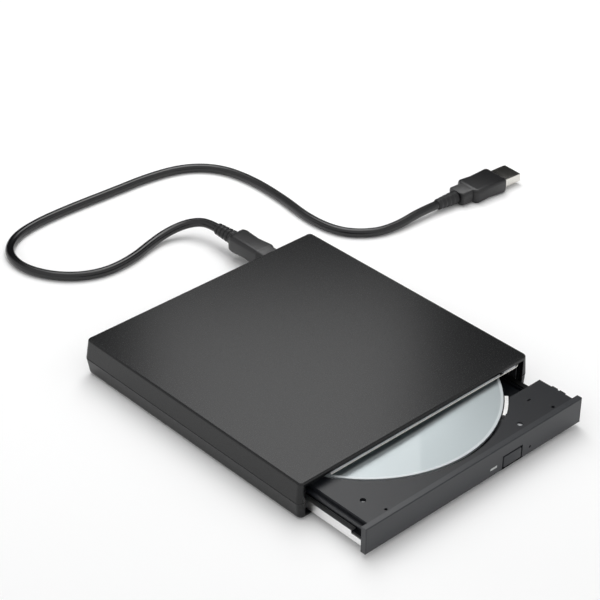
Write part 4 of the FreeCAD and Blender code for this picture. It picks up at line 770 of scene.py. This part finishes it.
class DRIVE_OT_plug_grips(bpy.types.Operator):
    """Make the moulded bodies of both plugs and the computer plug's metal shell"""
    bl_idname = "drive.plug_grips"
    bl_label = "Plug grips"

    def execute(self, context):
        self.drive_grip()
        place = host_place()
        low, high = node_box("plug_relief")
        start = high.y - low.y
        sections = [(start + along * MM, width * MM, height * MM, corner * MM)
                    for along, width, height, corner in HOST_GRIP]
        mesh = smooth_by_angle(loft_sections("host_plug_grip", sections, place), GRIP_ANGLE)
        add_piece("host_plug_grip", mesh, "case", "plug_plastic", "host_grip")
        self.shell(place, sections[-1][0])
        return {"FINISHED"}

    @staticmethod
    def drive_grip():
        """The drive plug's grip: a narrow neck, then a body that is waisted for the fingers."""
        low, high = node_box("plug_grip")
        axis = (low + high) / 2
        width, height, full = high.x - low.x, high.z - low.z, high.y - low.y
        waist = NECK + WAIST * (full - NECK)
        # How far along in metres, then in millimetres what the section's width and height lack and
        # its corner radius.
        cuts = ((0.0, 2.8, 2.4, 1.2), (0.5 * MM, 1.6, 1.2, 1.4), (NECK - 0.8 * MM, 1.6, 1.2, 1.4),
                (NECK, 0.4, 0.4, 1.8), (NECK + 1 * MM, 0.0, 0.0, 2.0), (waist, 0.9, 0.7, 2.2),
                (full - 3 * MM, 0.0, 0.0, 2.2), (full - 1 * MM, 0.6, 0.5, 2.2), (full, 2.6, 2.2, 2.0))
        sections = [(along, width - narrower * MM, height - lower * MM, corner * MM)
                    for along, narrower, lower, corner in cuts]
        place = Matrix.Translation((axis.x, low.y, axis.z))
        mesh = smooth_by_angle(loft_sections("drive_plug_grip", sections, place), GRIP_ANGLE)
        add_piece("drive_plug_grip", mesh, "case", "plug_plastic", "plug_grip")

    @staticmethod
    def shell(place, start):
        """A sleeve folded from sheet, open at its far end."""
        work = bmesh.new()
        rings = []
        for share, inset, corner in SHELL_RINGS:
            section = rounded_section(SHELL_WIDTH - 2 * inset, SHELL_HEIGHT - 2 * inset, corner * MM, 4)
            rings.append(add_ring(work, [place @ Vector((x, start + SHELL_REACH * share, z))
                                         for x, z in section]))
        join_rings(work, rings)
        mesh = smooth_by_angle(finish_mesh(work, "host_plug_shell"), SHELL_ANGLE)
        add_piece("host_plug_shell", mesh, "case", "plug_metal", "host_shell")


# The button's cap: how much wider its hidden flange is, the flange's depth, the play all round, the
# soft front edge and the corners.
FLANGE_STEP, FLANGE_DEPTH, CAP_PLAY = 0.9 * MM, 1.2 * MM, 0.1 * MM
CAP_SOFT, CAP_CORNER = 0.3 * MM, 0.9 * MM
# The lip's rolled edge: its two ends across, how far it lies in front of the lip and below the
# lip's top, the bead's radius, and its turn-up at the right end.
LIP_LEFT, LIP_RIGHT = -50.7 * MM, 59.8 * MM
LIP_PROUD, LIP_DROP, BEAD_RADIUS = 0.05 * MM, 1.1 * MM, 0.22 * MM
TURN_OUT, TURN_UP = 0.8 * MM, 0.5 * MM


class DRIVE_OT_front_trim(bpy.types.Operator):
    """Make the eject button's cap and the rolled edge of the chassis cover's lip"""
    bl_idname = "drive.front_trim"
    bl_label = "Button and lip"

    def execute(self, context):
        self.button()
        self.rolled_edge()
        return {"FINISHED"}

    @staticmethod
    def button():
        """A cap with round corners and a soft front edge, on a wider flange behind the bezel."""
        low, high = node_box("eject_button")
        width = high.x - low.x - 2 * FLANGE_STEP - 2 * CAP_PLAY
        height = high.z - low.z - FLANGE_STEP - 2 * CAP_PLAY
        depth = high.y - low.y
        place = Matrix.Translation(((low.x + high.x) / 2, low.y, low.z + CAP_PLAY + height / 2))
        step = depth - FLANGE_DEPTH
        # The front edge is two facets of a round.
        sections = [(0.0, width - 2 * CAP_SOFT, height - 2 * CAP_SOFT, CAP_CORNER - CAP_SOFT),
                    (0.3 * CAP_SOFT, width - 0.9 * CAP_SOFT, height - 0.9 * CAP_SOFT,
                     CAP_CORNER - CAP_SOFT / 2),
                    (CAP_SOFT, width, height, CAP_CORNER), (step, width, height, CAP_CORNER),
                    (step, width + FLANGE_STEP, height, CAP_CORNER),
                    (depth, width + FLANGE_STEP, height, CAP_CORNER)]
        mesh = smooth_by_angle(loft_sections("eject_button_cap", sections, place), GRIP_ANGLE)
        add_piece("eject_button_cap", mesh, "button", "bezel_plastic", "eject_button")

    @staticmethod
    def rolled_edge():
        """The lip's lower edge is rolled to a wire-thin bead that turns up at its right end."""
        low, high = node_box("chassis_cover")
        front = low.y - LIP_PROUD
        below = high.z - LIP_DROP
        path = [(LIP_LEFT, front, below), (LIP_RIGHT, front, below),
                (LIP_RIGHT + TURN_OUT, front, below + TURN_UP), (LIP_RIGHT + TURN_OUT, front, high.z)]
        curve = bpy.data.curves.new("lip_rolled_edge", "CURVE")
        curve.dimensions = "3D"
        spline = curve.splines.new("POLY")
        spline.points.add(len(path) - 1)
        for point, place in zip(spline.points, path):
            point.co = (*place, 1)
        curve.bevel_depth = BEAD_RADIUS
        curve.bevel_resolution = 4
        curve.use_fill_caps = True
        rod = bpy.data.objects.new("lip_rolled_edge", curve)
        bpy.context.scene.collection.objects.link(rod)
        seen = rod.evaluated_get(bpy.context.evaluated_depsgraph_get())
        mesh = bpy.data.meshes.new_from_object(seen)
        bpy.data.objects.remove(rod)
        add_piece("lip_rolled_edge", smooth_by_angle(mesh, BEAD_ANGLE), "case", "plug_metal")


# Nodes whose finish isn't their slot's: the black guides and the dark right rail are painted shade inside
# the case, and the strip at the disc's edge is bright.
OWN_FINISH = {"rail_guide_left": "black_plastic", "rail_guide_right": "black_plastic",
              "rail_right": "blackened_steel", "edge_plate": "edge_steel"}


class DRIVE_OT_finishes(bpy.types.Operator):
    """Give every CAD node its finish"""
    bl_idname = "drive.finishes"
    bl_label = "Finishes"

    def execute(self, context):
        slots = {row["node"]: row["material_slot"] for row in frame["record"]["subparts"]}
        for name, node in frame["nodes"].items():
            if slots[name] not in MATERIALS:
                raise RuntimeError(f"no finish for the slot {slots[name]}")
            node.data.materials.clear()
            node.data.materials.append(MATERIALS[OWN_FINISH.get(name, slots[name])])
        return {"FINISHED"}


class DRIVE_PT_panel(bpy.types.Panel):
    """Sizes, colours and the buttons that make each piece"""
    bl_idname = "DRIVE_PT_panel"
    bl_label = "Optical drive"
    bl_space_type = "VIEW_3D"
    bl_region_type = "UI"
    bl_category = "Optical drive"

    def draw(self, context):
        for group in GROUPS:
            settings = getattr(context.scene, group)
            box = self.layout.box()
            for name in settings.__annotations__:
                box.prop(settings, name)
        for operator in OPERATORS:
            self.layout.operator(operator.bl_idname)


OPERATORS = (DRIVE_OT_studio, DRIVE_OT_reliefs, DRIVE_OT_plug_grips, DRIVE_OT_cable, DRIVE_OT_front_trim,
             DRIVE_OT_finishes)
GROUPS = {"drive_case": DriveCase, "drive_disc": DriveDisc, "drive_cable": DriveCable,
          "drive_studio": DriveStudio}


def register():
    for group in GROUPS.values():
        bpy.utils.register_class(group)
    for name, group in GROUPS.items():
        setattr(bpy.types.Scene, name, PointerProperty(type=group))
    for operator in OPERATORS:
        bpy.utils.register_class(operator)
    bpy.utils.register_class(DRIVE_PT_panel)


def unregister():
    bpy.utils.unregister_class(DRIVE_PT_panel)
    for operator in reversed(OPERATORS):
        bpy.utils.unregister_class(operator)
    for name in GROUPS:
        delattr(bpy.types.Scene, name)
    for group in reversed(list(GROUPS.values())):
        bpy.utils.unregister_class(group)


def main():
    """Make every piece through its operator."""
    register()
    MATERIALS.update(make_materials(bpy.context.scene))
    for operator in OPERATORS:
        area, name = operator.bl_idname.split(".")
        getattr(getattr(bpy.ops, area), name)()


if __name__ == "__main__":
    main()
